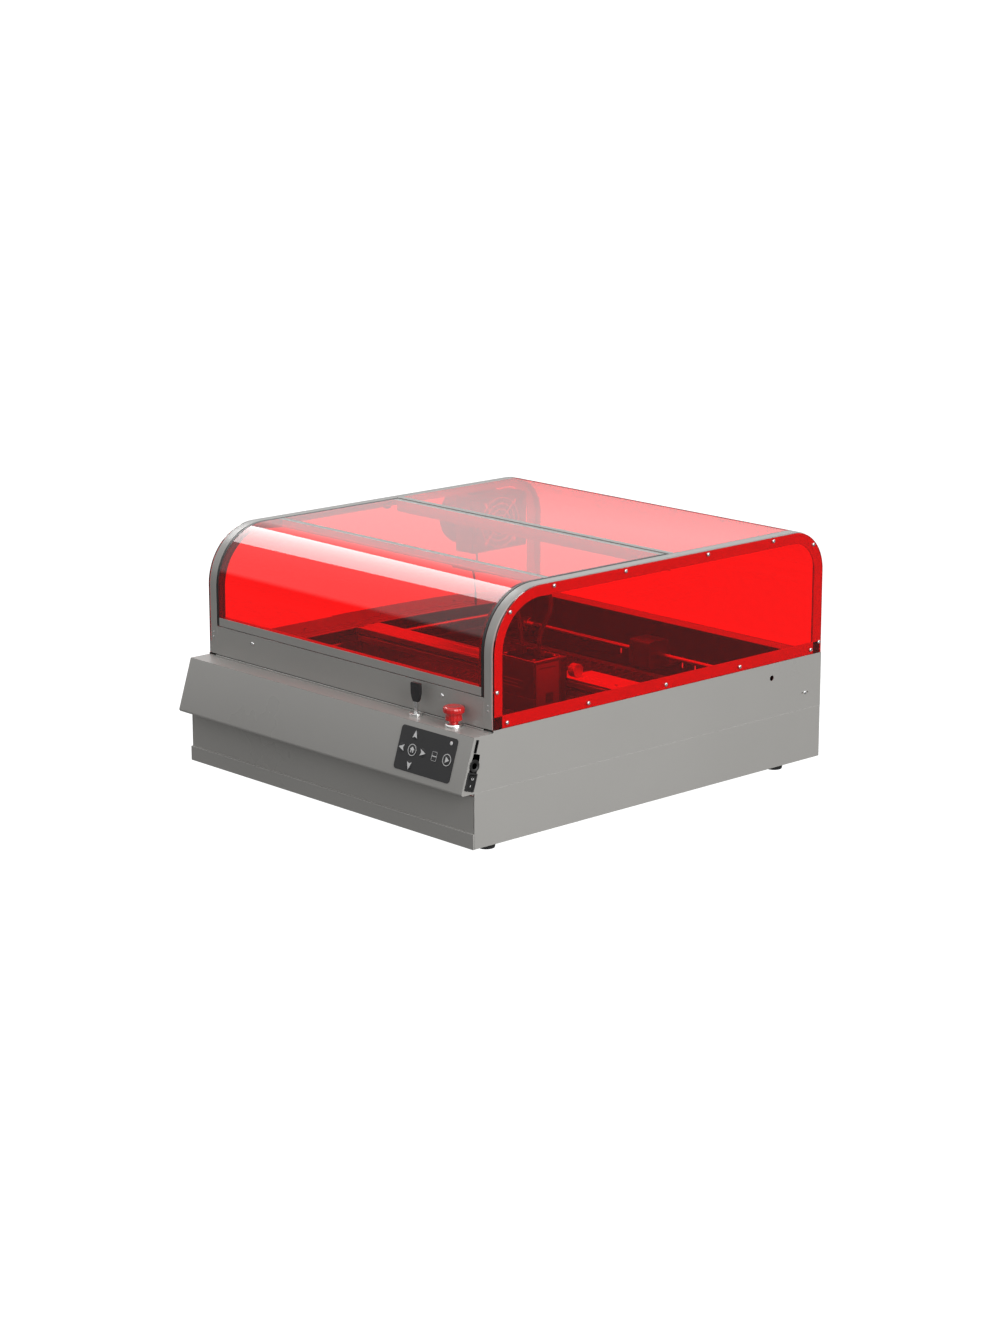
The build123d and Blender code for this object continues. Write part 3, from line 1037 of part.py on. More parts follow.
def make_gantry_beam():
    """Hollow beam with a slot along its front, through which the carriage reaches the belt."""
    y = (BEAM_FRONT, BEAM_FRONT + BEAM_DEPTH)
    half = BEAM_HALF_LENGTH
    beam = block((-half, half), y, (BEAM_BOTTOM, BEAM_TOP))
    inner_z = (BEAM_BOTTOM + SHEET, BEAM_TOP - SHEET)
    beam -= block((-half + SHEET, half - SHEET), (y[0] + SHEET, y[1] - SHEET), inner_z)
    slot_z = (X_AXIS_Z - BEAM_SLOT / 2, X_AXIS_Z + BEAM_SLOT / 2)
    beam -= block((-X_PULLEY_X, X_PULLEY_X), (y[0] - OVERSIZE, y[0] + SHEET + RUN_GAP), slot_z)
    beam -= rod_z(-X_PULLEY_X, X_AXIS_Y, (BEAM_BOTTOM - OVERSIZE, BEAM_BOTTOM + SHEET), X_SHAFT_R + SHEET)
    return beam + rod_z(X_PULLEY_X, X_AXIS_Y, inner_z, X_SHAFT_R)


def make_gantry_trucks():
    """Truck blocks under the beam's ends, bored for the rods."""
    y = (TRUCK_Y - TRUCK_LENGTH / 2, TRUCK_Y + TRUCK_LENGTH / 2)
    truck = block((TRUCK_INNER, TRUCK_OUTER), y, (BEAM_BOTTOM - TRUCK_HEIGHT, BEAM_BOTTOM))
    return both_sides(truck - rod_y(ROD_X, (y[0] - OVERSIZE, y[1] + OVERSIZE), ROD_Z, ROD_R + BORE_GAP))


def make_end_plate():
    """Bright plate on top of the beam's right end, over the idler."""
    front = BEAM_FRONT + CARRIAGE_HOOK + RUN_GAP
    return block((END_PLATE_INNER, END_PLATE_OUTER), (front, front + END_PLATE_DEPTH),
                 (BEAM_TOP, BEAM_TOP + END_PLATE_THICK))


def make_x_belt():
    """Belt inside the beam."""
    return Pos(0, X_AXIS_Y, X_AXIS_Z) * belt_loop(2 * X_PULLEY_X, X_PULLEY_R, BELT_WIDTH)


def make_x_motor():
    """Stepper motor under the beam's left end."""
    body = extrude(RectangleRounded(MOTOR_SIZE, MOTOR_SIZE, MOTOR_CORNER), -X_MOTOR_HEIGHT)
    body = Pos(-X_PULLEY_X, X_AXIS_Y, BEAM_BOTTOM) * body
    bore_z = (BEAM_BOTTOM - X_BORE_DEPTH, BEAM_BOTTOM + OVERSIZE)
    return body - rod_z(-X_PULLEY_X, X_AXIS_Y, bore_z, X_SHAFT_R + BORE_GAP)


def make_x_drive_pulley():
    """Pulley on the motor's shaft."""
    pulley_z = (X_AXIS_Z - X_PULLEY_HEIGHT / 2, X_AXIS_Z + X_PULLEY_HEIGHT / 2)
    shaft_z = (BEAM_BOTTOM - X_BORE_DEPTH + RUN_GAP, X_AXIS_Z)
    pulley = rod_z(-X_PULLEY_X, X_AXIS_Y, pulley_z, X_PULLEY_R)
    return pulley + rod_z(-X_PULLEY_X, X_AXIS_Y, shaft_z, X_SHAFT_R)


def make_x_idler_pulley():
    """Idler on the pin at the beam's right end."""
    z = (X_AXIS_Z - X_PULLEY_HEIGHT / 2, X_AXIS_Z + X_PULLEY_HEIGHT / 2)
    pulley = rod_z(X_PULLEY_X, X_AXIS_Y, z, X_PULLEY_R)
    return pulley - rod_z(X_PULLEY_X, X_AXIS_Y, (z[0] - OVERSIZE, z[1] + OVERSIZE), X_SHAFT_R + BORE_GAP)


# ---- laser head ----------------------------------------------------------------------------------
def make_head_carriage():
    """Carriage on the beam's front.

    Lips hook over the beam, a tongue reaches the belt, and a guide on the front takes the laser head.
    """
    x = (HEAD_X - CARRIAGE_WIDTH / 2, HEAD_X + CARRIAGE_WIDTH / 2)
    z = (BEAM_BOTTOM - CARRIAGE_BELOW, BEAM_TOP + CARRIAGE_ABOVE)
    plate = block(x, (CARRIAGE_FRONT, CARRIAGE_BACK), z)
    lip_y = (CARRIAGE_BACK, BEAM_FRONT + CARRIAGE_HOOK)
    plate += block(x, lip_y, (BEAM_TOP + RUN_GAP, BEAM_TOP + RUN_GAP + CARRIAGE_LIP))
    plate += block(x, lip_y, (BEAM_BOTTOM - RUN_GAP - CARRIAGE_LIP, BEAM_BOTTOM - RUN_GAP))
    belt_front = X_AXIS_Y - X_PULLEY_R - BELT_GAP - BELT_THICK
    tongue_half = BEAM_SLOT / 2 - RUN_GAP
    tongue_x = (HEAD_X - TONGUE_WIDTH / 2, HEAD_X + TONGUE_WIDTH / 2)
    tongue_z = (X_AXIS_Z - tongue_half, X_AXIS_Z + tongue_half)
    plate += block(tongue_x, (CARRIAGE_BACK, belt_front - RUN_GAP), tongue_z)
    guide_x = (HEAD_X - GUIDE_WIDTH / 2, HEAD_X + GUIDE_WIDTH / 2)
    plate += block(guide_x, (CARRIAGE_FRONT - GUIDE_DEPTH, CARRIAGE_FRONT), z)
    bore_x = (HEAD_X, x[1] + OVERSIZE)
    return plate - rod_x(bore_x, FOCUS_Y, FOCUS_Z, FOCUS_SHAFT_R + BORE_GAP)


def make_laser_head():
    """Laser module housing, grooved at the back for the carriage's guide, with a cable post on top."""
    x = (HEAD_X - HEAD_WIDTH / 2, HEAD_X + HEAD_WIDTH / 2)
    head = block(x, (HEAD_FRONT, HEAD_BACK), (HEAD_BOTTOM, HEAD_TOP))
    head = fillet(head.edges().filter_by(Axis.Z), HEAD_CORNER)
    groove_half = GUIDE_WIDTH / 2 + RUN_GAP
    head -= block((HEAD_X - groove_half, HEAD_X + groove_half),
                  (CARRIAGE_FRONT - GUIDE_DEPTH - RUN_GAP, HEAD_BACK + OVERSIZE),
                  (HEAD_BOTTOM - OVERSIZE, HEAD_TOP + OVERSIZE))
    post_x, post_y, post_z = POST_SIZE
    for side in (-1, 1):
        middle = Pos(HEAD_X + side * HEAD_WIDTH / 4, HEAD_MID_Y, HEAD_TOP + post_z / 2)
        head += middle * Box(post_x, post_y, post_z)
    return head


def make_lens_nozzle():
    """Tapered nozzle with the lens bore, under the head."""
    nozzle = Rot(180, 0, 0) * Cone(NOZZLE_R, NOZZLE_TIP_R, NOZZLE_LENGTH)
    nozzle = Pos(HEAD_X, HEAD_MID_Y, HEAD_BOTTOM - NOZZLE_LENGTH / 2) * nozzle
    bore_z = (HEAD_BOTTOM - NOZZLE_LENGTH - OVERSIZE, HEAD_BOTTOM)
    return nozzle - rod_z(HEAD_X, HEAD_MID_Y, bore_z, NOZZLE_BORE_R)


def make_focus_knob():
    """Knob on the carriage's right side that racks the head up and down."""
    outer = HEAD_X + HEAD_WIDTH / 2 + FOCUS_KNOB_REACH
    knob = rod_x((outer - FOCUS_KNOB_THICK, outer), FOCUS_Y, FOCUS_Z, FOCUS_KNOB_R)
    return knob + rod_x((HEAD_X + SHEET, outer - FOCUS_KNOB_THICK), FOCUS_Y, FOCUS_Z, FOCUS_SHAFT_R)


def make_laser_cable():
    """Cable loop over the head, held at a post at each end."""
    reach = HEAD_WIDTH / 4
    post_top = HEAD_TOP + POST_SIZE[2]
    route = [
        (HEAD_X - reach, HEAD_MID_Y, post_top),
        (HEAD_X - reach, HEAD_MID_Y, post_top + 22),
        (HEAD_X - reach - 14, HEAD_MID_Y + 4, post_top + 47),
        (HEAD_X - reach - 12, HEAD_MID_Y + 9, post_top + 73),
        (HEAD_X, HEAD_MID_Y + 14, post_top + 90),
        (HEAD_X + reach + 13, HEAD_MID_Y + 11, post_top + 76),
        (HEAD_X + reach + 16, HEAD_MID_Y + 6, post_top + 48),
        (HEAD_X + reach, HEAD_MID_Y, post_top + 22),
        (HEAD_X + reach, HEAD_MID_Y, post_top),
    ]
    radii = []
    for before, corner, after in zip(route, route[1:], route[2:]):
        run_in, run_out = Vector(*corner) - Vector(*before), Vector(*after) - Vector(*corner)
        half_turn = math.radians(run_in.get_angle(run_out)) / 2
        radii.append(CABLE_ARC_SHARE * min(run_in.length, run_out.length) / math.tan(half_turn))
    path = FilletPolyline(*route, radius=radii)
    print("laser cable bend radii", [round(r, 1) for r in radii], "length", round(path.length, 1))
    return sweep(Plane(path @ 0, z_dir=path % 0) * Circle(CABLE_R), path)


# ---- assembly ------------------------------------------------------------------------------------
def left_window():
    """Left side window: the right one mirrored, with the exhaust opening."""
    hole = rod_x((-HALF_WIDTH - OVERSIZE, -FLANGE_OUT + OVERSIZE), FAN_Y, FAN_Z, DUCT_R - DUCT_WALL)
    return mirror(make_side_window(), about=Plane.YZ) - hole


NODES = {
    "base_tray": make_base_tray(),
    "upper_chassis": make_upper_chassis(),
    "console_shell": make_console_shell(),
    "front_apron": make_front_apron(),
    "arch_frames": both_sides(make_arch_frame()),
    "side_window_right": make_side_window(),
    "side_window_left": left_window(),
    "rear_window": make_rear_window(),
    "rear_crossbar": make_rear_crossbar(),
    "lid_pivot_pins": make_pivot_pins(),
    "panel_screws": make_panel_screws(),
    "rubber_feet": make_feet(),
    "lid_interlock": make_lid_interlock(),
    "lid_front_window": make_lid_front_window(),
    "lid_top_window": make_lid_top_window(),
    "lid_side_frames": make_lid_side_frames(),
    "lid_front_rail": make_lid_front_rail(),
    "lid_crossbars": make_lid_crossbars(),
    "keypad_panel": make_keypad_panel(),
    "key_switch_barrel": make_key_switch_barrel(),
    "key": make_key(),
    "estop_collar": make_estop_collar(),
    "estop_button": make_estop_button(),
    "side_ports": make_side_ports(),
    "rocker_frame": make_rocker_frame(),
    "rocker_paddle": make_rocker_paddle(),
    "control_board": make_control_board(),
    "exhaust_fan_housing": make_fan_housing(),
    "exhaust_fan_rotor": make_fan_rotor(),
    "exhaust_fan_guard": make_fan_guard(),
    "duct_collar": make_duct_collar(),
    "fan_cable": make_fan_cable(),
    "work_bed": make_work_bed(),
    "debris_drawer": make_debris_drawer(),
    "drawer_runners": make_drawer_runners(),
    "guide_rods": make_guide_rods(),
    "rod_brackets": make_rod_brackets(),
    "y_belts": make_y_belts(),
    "y_drive_shaft": make_y_drive_shaft(),
    "y_idler_pulleys": make_y_idlers(),
    "y_motor": make_y_motor(),
    "gantry_beam": make_gantry_beam(),
    "gantry_trucks": make_gantry_trucks(),
    "gantry_end_plate": make_end_plate(),
    "x_belt": make_x_belt(),
    "x_motor": make_x_motor(),
    "x_drive_pulley": make_x_drive_pulley(),
    "x_idler_pulley": make_x_idler_pulley(),
    "head_carriage": make_head_carriage(),
    "laser_head": make_laser_head(),
    "lens_nozzle": make_lens_nozzle(),
    "focus_knob": make_focus_knob(),
    "laser_cable": make_laser_cable(),
}
for name, (key_x, key_down, key_outline) in key_places().items():
    NODES[name] = make_button(key_x, key_down, key_outline)


def as_compound(shape):
    """One compound for a node, whether it is one solid or several."""
    if isinstance(shape, list):
        return Compound(children=[solid for piece in shape for solid in piece.solids()])
    return shape


NODES = {name: as_compound(shape) for name, shape in NODES.items()}
BOXES = [shape.bounding_box() for shape in NODES.values()]
ORIGIN = Vector(
    (min(box.min.X for box in BOXES) + max(box.max.X for box in BOXES)) / 2,
    (min(box.min.Y for box in BOXES) + max(box.max.Y for box in BOXES)) / 2,
    0,
)

print("pulley turns in radians per mm", round(1 / X_PITCH_R, 5), round(1 / Y_PITCH_R, 5))
print("travels", {piece: (round(low, 3), round(high, 3)) for piece, (low, high) in TRAVELS.items()})
os.makedirs("parts", exist_ok=True)
for name, shape in NODES.items():
    export_step(Pos(-ORIGIN.X, -ORIGIN.Y, -ORIGIN.Z) * shape, f"parts/{name}.step")
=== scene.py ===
"""Looks of a desktop laser cutter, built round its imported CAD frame.

Shapes are worked out in the machine's own millimetres: x = 0 in the middle, y = 0 at the console's
top front edge, z = 0 on the desk, +X right, +Y back, +Z up. put_in_scene() turns them into metres.
"""

import json
import math

import bmesh
import bpy
import numpy as np
from bpy.props import FloatProperty, FloatVectorProperty, IntProperty, PointerProperty
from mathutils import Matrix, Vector


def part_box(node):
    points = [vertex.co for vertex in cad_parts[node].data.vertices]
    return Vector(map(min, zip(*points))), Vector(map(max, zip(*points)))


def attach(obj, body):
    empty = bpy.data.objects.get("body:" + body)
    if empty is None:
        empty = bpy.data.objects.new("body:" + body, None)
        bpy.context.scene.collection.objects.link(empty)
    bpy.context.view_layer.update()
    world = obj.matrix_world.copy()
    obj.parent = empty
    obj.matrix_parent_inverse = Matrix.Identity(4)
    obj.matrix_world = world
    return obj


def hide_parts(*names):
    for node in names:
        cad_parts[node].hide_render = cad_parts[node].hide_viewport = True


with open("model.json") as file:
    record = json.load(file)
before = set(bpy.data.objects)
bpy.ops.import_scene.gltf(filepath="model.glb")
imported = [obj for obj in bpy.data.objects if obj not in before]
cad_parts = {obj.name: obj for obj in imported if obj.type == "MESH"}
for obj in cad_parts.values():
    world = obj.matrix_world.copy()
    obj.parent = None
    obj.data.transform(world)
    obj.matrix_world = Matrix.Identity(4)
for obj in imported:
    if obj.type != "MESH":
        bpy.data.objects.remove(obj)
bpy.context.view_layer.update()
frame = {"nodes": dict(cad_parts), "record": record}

bl_info = {
    "name": "Desktop laser cutter",
    "version": (1, 0, 0),
    "blender": (4, 5, 0),
    "location": "3D View > Sidebar > Laser Cutter",
    "description": "Surfaces, finishes and studio for an enclosed desktop laser cutter",
    "category": "Object",
}

# ---- sizes shared with the frame, in millimetres ---------------------------------------------------
MM = 0.001
console_low, console_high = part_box("console_shell")
SHIFT = np.array([(console_low[0] + console_high[0]) / 2, console_high[1], 0.0])


def span(node):
    """Lowest and highest corner of a CAD node, in the machine's millimetres."""
    low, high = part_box(node)
    return (np.array(low) - SHIFT) / MM, (np.array(high) - SHIFT) / MM


def middle_of(node):
    """Middle of a CAD node's box, in the machine's millimetres."""
    low, high = span(node)
    return (low + high) / 2


SHEET = 2.0
ACRYLIC = 3.0
FIT = 0.1                    # gap that keeps a visible piece inside its CAD box
HALF_WIDTH = span("upper_chassis")[1][0]
WALL_IN = HALF_WIDTH - SHEET
DEPTH = span("upper_chassis")[1][1]
DECK_Z = span("console_shell")[1][2]
SEAM_Z = span("upper_chassis")[0][2]
SHOULDER_Z = span("upper_chassis")[1][2]
HOOD_TOP = span("arch_frames")[1][2]
HOOD_FRONT = span("arch_frames")[0][1]
RIM_OUT = span("arch_frames")[1][0]
RIM_IN = span("front_apron")[1][0]
FRONT_BEND = 85.0            # radius of the hood's front bend
REAR_BEND = 62.0
ARCH_FLANGE = 17.0           # how far the arch reaches in over the side window
LID_HALF = span("lid_side_frames")[1][0]
GLASS_HALF = span("lid_front_window")[1][0]
CONSOLE_REACH = -span("console_shell")[0][1]
CONSOLE_EDGE_Z = SEAM_Z + 2.5   # lower end of the sloping face, above its rounded corner
FACE_ANGLE = math.atan2(CONSOLE_REACH, DECK_Z - CONSOLE_EDGE_Z)
SLOPE_UP = np.array([0.0, math.sin(FACE_ANGLE), math.cos(FACE_ANGLE)])
FACE_OUT = np.array([0.0, -math.cos(FACE_ANGLE), math.sin(FACE_ANGLE)])
X_DIR, Y_DIR, Z_DIR = np.eye(3)
HIDE_EPS = 0.05              # how far a skin stands off the sheet it covers
EDGE_LIGHTENING_REACH = 1.2             # how far from an edge the paint is lighter, as worn paint and as a painted highlight along the folds


# ---- settings --------------------------------------------------------------------------------------
class CutterPaint(bpy.types.PropertyGroup):
    """Powder coat on the sheet metal."""
    colour: FloatVectorProperty(name="Paint", description="Powder coat on the outside", size=3,
                                subtype="COLOR", default=(0.37, 0.362, 0.345), min=0, max=1)
    # The near-black inside colour is a dark coat, made darker still as painted shade of the closed chamber.
    inside: FloatVectorProperty(name="Inside", description="Dark coat inside the work chamber", size=3,
                                subtype="COLOR", default=(0.009, 0.009, 0.009), min=0, max=1)
    roughness: FloatProperty(name="Roughness", description="How matt the paint is", default=0.29,
                             min=0, max=1, subtype="FACTOR")
    # Edge lightening of the paint: partly worn paint, partly a painted highlight along the bright folds.
    wear: FloatProperty(name="Edge wear", description="How much lighter the folded edges are",
                        default=0.45, min=0, max=1, subtype="FACTOR")


class CutterAcrylic(bpy.types.PropertyGroup):
    """Tinted sheets of the hood."""
    tint: FloatVectorProperty(name="Tint", description="Light that one sheet lets through", size=3,
                              subtype="COLOR", default=(0.985, 0.013, 0.0125), min=0, max=1)
    roughness: FloatProperty(name="Polish", description="Roughness of the polished faces",
                             default=0.015, min=0, max=1, subtype="FACTOR")


class CutterEdges(bpy.types.PropertyGroup):
    """Small roundings and repeated details."""
    fold: FloatProperty(name="Fold", description="Outer radius of the folded sheet", default=2.4, min=0.2)
    edge: FloatProperty(name="Edge", description="Rounding of cut edges", default=0.45, min=0.05)
    flutes: IntProperty(name="Flutes", description="Grip flutes round the stop head", default=18, min=6)
    tooth_pitch: FloatProperty(name="Tooth pitch", description="Pitch of the belts' teeth", default=3.0,
                               min=1)


class CutterStudio(bpy.types.PropertyGroup):
    """Light and camera."""
    key: FloatProperty(name="Side light", description="Power of the softbox at the right", default=76.0,
                       min=0, subtype="POWER")
    strip: FloatProperty(name="Strip light", description="Power of the low strip at the front left",
                         default=6.0, min=0, subtype="POWER")
    upper: FloatProperty(name="Upper light", description="Power of the upper light at the left",
                         default=30.0, min=0, subtype="POWER")
    ambient: FloatProperty(name="Ambient", description="Strength of the sky as diffuse light",
                           default=0.42, min=0)
    mirror: FloatProperty(name="Reflected sky", description="Strength of the sky in reflections",
                          default=1.15, min=0)
    lens: FloatProperty(name="Lens", description="Focal length in millimetres", default=83.32, min=10)


# ---- outlines --------------------------------------------------------------------------------------
def rounded(width, height, radius, steps=5):
    """Rectangle about the origin with a quarter circle at each corner, counter-clockwise."""
    turn = np.linspace(0, math.pi / 2, steps)
    arc = radius * np.stack([np.cos(turn), np.sin(turn)], 1)
    corners = [(1, 1), (-1, 1), (-1, -1), (1, -1)]
    pieces = []
    for quarter, (side, up) in enumerate(corners):
        angle = quarter * math.pi / 2
        spin = np.array([[math.cos(angle), math.sin(angle)], [-math.sin(angle), math.cos(angle)]])
        centre = np.array([side * (width / 2 - radius), up * (height / 2 - radius)])
        pieces.append(arc @ spin + centre)
    return np.concatenate(pieces)


def circle(radius, steps=48):
    """Circle about the origin, counter-clockwise."""
    turn = np.arange(steps) * 2 * math.pi / steps
    return radius * np.stack([np.cos(turn), np.sin(turn)], 1)


def rectangle(u, v):
    """Rectangle between two limits each way, counter-clockwise."""
    return np.array([(u[0], v[0]), (u[1], v[0]), (u[1], v[1]), (u[0], v[1])], float)


def arc_points(centre, radius, start, stop, steps=9):
    """Points along a circular arc, angles in degrees."""
    turn = np.radians(np.linspace(start, stop, steps))
    return np.array(centre) + radius * np.stack([np.cos(turn), np.sin(turn)], 1)


# ---- surfaces --------------------------------------------------------------------------------------
class Shell:
    """Points in millimetres, faces as lists of point numbers, and one material number."""

    def __init__(self, points, faces, material=0):
        self.points = np.asarray(points, float).reshape(-1, 3)
        self.faces = faces
        self.material = material

    def moved(self, offset):
        """A copy shifted by an offset."""
        return Shell(self.points + np.array(offset, float), self.faces, self.material)

    def placed(self, origin, u, v, w):
        """Its own x, y, z laid along u, v, w from origin."""
        basis = np.stack([u, v, w])
        return Shell(self.points @ basis + np.array(origin, float), self.faces, self.material)

    def mirrored(self):
        """A copy on the other side of x = 0, with its faces still pointing out."""
        return Shell(self.points * np.array([-1, 1, 1]), [f[::-1] for f in self.faces], self.material)


def grid_shell(points, wrap_rows=False, wrap_cols=True, caps=True, material=0):
    """Quads between neighbouring rows and columns of a grid of points, with end faces as caps."""
    rows, cols = points.shape[:2]
    number = np.arange(rows * cols).reshape(rows, cols)
    if wrap_rows:
        number = np.concatenate([number, number[:1]])
    if wrap_cols:
        number = np.concatenate([number, number[:, :1]], 1)
    quads = np.stack([number[:-1, :-1], number[:-1, 1:], number[1:, 1:], number[1:, :-1]], -1)
    faces = quads.reshape(-1, 4).tolist()
    if caps and not wrap_rows and wrap_cols:
        faces.append(number[0, :cols][::-1].tolist())
        faces.append(number[-1, :cols].tolist())
    return Shell(points.reshape(-1, 3), faces, material)


def swept(outline, origins, u_dirs, v_dirs, closed=False, material=0):
    """An outline carried along a path: each point is origin + u * first + v * second coordinate."""
    origins, u_dirs, v_dirs = (np.asarray(a, float)[:, None, :] for a in (origins, u_dirs, v_dirs))
    points = origins + outline[None, :, :1] * u_dirs + outline[None, :, 1:] * v_dirs
    return grid_shell(points, wrap_rows=closed, material=material)


def prism(outline, w, origin=(0, 0, 0), u=X_DIR, v=Y_DIR, material=0):
    """An outline in the plane of u and v, pushed along their cross product between two limits."""
    normal = np.cross(u, v)
    origins = [np.array(origin, float) + normal * limit for limit in w]
    return swept(np.asarray(outline, float), origins, [u, u], [v, v], material=material)


def along_x(outline, x, material=0):
    """An outline of (y, z) pushed along X."""
    return prism(outline, x, u=Y_DIR, v=Z_DIR, material=material)


def block(x, y, z, material=0):
    """Box between limits, to be given rounded edges."""
    return prism(rectangle(x, y), z, material=material)


def turned(profile, origin=(0, 0, 0), axis=Z_DIR, steps=40, sides=None, ripple=None, material=0):
    """A profile of (radius, height) turned about an axis; radius 0 closes an end in a pole.

    Rows listed in sides are polygons with that many corners. ripple(turn, row) scales the radius.
    """
    axis = np.array(axis, float)
    u = np.cross(axis, X_DIR if abs(axis[0]) < 0.9 else Y_DIR)
    u /= np.linalg.norm(u)
    v = np.cross(axis, u)
    turn = np.arange(steps) * 2 * math.pi / steps
    profile = np.array(profile, float)
    radii = np.repeat(profile[:, :1], steps, 1)
    for row, corners in (sides or {}).items():
        part = math.pi / corners
        radii[row] *= math.cos(part) / np.cos(np.mod(turn, 2 * part) - part)
    if ripple is not None:
        radii = radii * ripple(turn[None, :], np.arange(len(profile))[:, None])
    rays = np.cos(turn)[:, None] * u + np.sin(turn)[:, None] * v
    points = np.array(origin) + radii[..., None] * rays + profile[:, 1:, None] * axis
    return grid_shell(points, material=material)


def hollow(profile, *place, **settings):
    """A closed profile turned about an axis, without end faces, so that it is bored through."""
    shell = turned(profile, *place, **settings)
    shell.faces = shell.faces[:-2]
    return shell


def tube(path, radius, steps=12, closed=False, material=0):
    """Round wire along a path: a circle at each point, square to the path's direction there."""
    path = np.asarray(path, float)
    if closed:
        ahead = np.roll(path, -1, 0) - np.roll(path, 1, 0)
    else:
        ahead = np.gradient(path, axis=0)
    ahead /= np.linalg.norm(ahead, axis=1, keepdims=True)
    spread = np.ptp(path, axis=0)
    helper = np.eye(3)[int(np.argmin(spread))]
    u = np.cross(ahead, helper)
    u /= np.linalg.norm(u, axis=1, keepdims=True)
    v = np.cross(ahead, u)
    return swept(circle(radius, steps), path, u, v, closed=closed, material=material)


def ring(outer, inner, w, steps=40, material=0, **place):
    """Flat ring between two radii and two heights."""
    profile = np.array([(inner, w[0]), (outer, w[0]), (outer, w[1]), (inner, w[1])], float)
    origin = np.array(place.get("origin", (0, 0, 0)), float)
    u, v = place.get("u", X_DIR), place.get("v", Y_DIR)
    normal = np.cross(u, v)
    turn = np.arange(steps) * 2 * math.pi / steps
    ray = np.cos(turn)[:, None] * u + np.sin(turn)[:, None] * v
    points = origin + profile[None, :, :1] * ray[:, None, :] + profile[None, :, 1:] * normal
    return grid_shell(points, wrap_rows=True, material=material)


def both(shells):
    """Shells of the right-hand side and their mirror images."""
    return shells + [shell.mirrored() for shell in shells]


# ---- objects ---------------------------------------------------------------------------------------
def soften(obj, radius, segments=2, angle=35.0, weighted=False):
    """Live bevel on the sharp edges, and shading that keeps flat faces flat."""
    bevel = obj.modifiers.new("edges", "BEVEL")
    bevel.width = radius * MM
    bevel.segments = segments
    bevel.harden_normals = not weighted
    bevel.miter_outer = "MITER_ARC"
    bevel.limit_method = "WEIGHT" if weighted else "ANGLE"
    bevel.angle_limit = math.radians(angle)
    if weighted:
        shading = obj.modifiers.new("shading", "WEIGHTED_NORMAL")
        shading.keep_sharp = True


def shade(mesh, angle=35.0):
    """Smooth shading with every edge sharper than the angle kept sharp."""
    mesh.shade_smooth()
    work = bmesh.new()
    work.from_mesh(mesh)
    limit = math.radians(angle)
    sharp = [len(e.link_faces) != 2 or e.calc_face_angle(0.0) > limit for e in work.edges]
    work.free()
    mesh.attributes.new("sharp_edge", "BOOLEAN", "EDGE")
    mesh.attributes["sharp_edge"].data.foreach_set("value", np.array(sharp, bool))


def put_in_scene(name, shells, materials, body, replaces=(), edge=0.0, segments=2):
    """One object from many shells, riding on a body and standing for the CAD nodes that it replaces."""
    points, faces, numbers, start = [], [], [], 0
    for shell in shells:
        points.append(shell.points)
        faces += [[i + start for i in face] for face in shell.faces]
        numbers += [shell.material] * len(shell.faces)
        start += len(shell.points)
    mesh = bpy.data.meshes.new(name)
    mesh.from_pydata((np.concatenate(points) * MM + SHIFT).tolist(), [], faces)
    for material in materials:
        mesh.materials.append(material)
    mesh.polygons.foreach_set("material_index", numbers)
    work = bmesh.new()
    work.from_mesh(mesh)
    bmesh.ops.remove_doubles(work, verts=work.verts, dist=1e-7)
    bmesh.ops.recalc_face_normals(work, faces=work.faces)
    work.to_mesh(mesh)
    work.free()
    shade(mesh)
    obj = bpy.data.objects.new(name, mesh)
    bpy.context.scene.collection.objects.link(obj)
    if edge:
        soften(obj, edge, segments)
    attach(obj, body)
    if replaces:
        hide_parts(*replaces)
    return obj


def body_of(node):
    """Name of the body that a CAD node rides on."""
    bodies = frame["record"]["behaviour"]["bodies"]
    return next(body for body, nodes in bodies.items() if node in nodes)


def refined(node, name, material, edge, longest=4.0, bold=None):
    """A merged copy of a CAD node with its flat faces made whole and its long edges rounded.

    bold(middles) says which edges, by their middle points in millimetres, get four times the radius.
    """
    mesh = frame["nodes"][node].data.copy()
    mesh.name = name
    mesh.materials.clear()
    mesh.materials.append(material)
    work = bmesh.new()
    work.from_mesh(mesh)
    for layer in list(work.loops.layers.uv):
        work.loops.layers.uv.remove(layer)
    bmesh.ops.remove_doubles(work, verts=work.verts, dist=1e-6)
    bmesh.ops.dissolve_limit(work, angle_limit=math.radians(1.0), verts=work.verts, edges=work.edges,
                             delimit={"NORMAL"})
    work.edges.ensure_lookup_table()
    weight = work.edges.layers.float.new("bevel_weight_edge")
    middles = np.array([(e.verts[0].co + e.verts[1].co) / 2 for e in work.edges])
    strong = bold((middles - SHIFT) / MM) if bold else np.zeros(len(middles), bool)
    limit = math.radians(30.0)
    for edge_item, is_bold in zip(work.edges, strong):
        whole = len(edge_item.link_faces) == 2 and edge_item.calc_face_angle(0.0) > limit
        if whole and edge_item.calc_length() > longest * MM:
            edge_item[weight] = 1.0 if is_bold else 0.25
    for face in work.faces:
        face.material_index = 0
    work.to_mesh(mesh)
    work.free()
    shade(mesh)
    obj = bpy.data.objects.new(name, mesh)
    bpy.context.scene.collection.objects.link(obj)
    soften(obj, edge * 4, 2, weighted=True)
    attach(obj, body_of(node))
    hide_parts(node)
    return obj


# ---- shader nodes ----------------------------------------------------------------------------------
def add_node(tree, kind, settings=None, **sockets):
    """A node. settings are its own properties; sockets are inputs by name, or by place as in0, in1.

    A socket is given a value, or an output socket to be linked from.
    """
    item = tree.nodes.new(kind)
    for key, value in (settings or {}).items():
        setattr(item, key, value)
    for key, value in sockets.items():
        by_place = key[:2] == "in" and key[2:].isdigit()
        socket = item.inputs[int(key[2:])] if by_place else item.inputs[key.replace("_", " ")]
        if isinstance(value, bpy.types.NodeSocket):
            tree.links.new(value, socket)
        else:
            socket.default_value = value
    return item


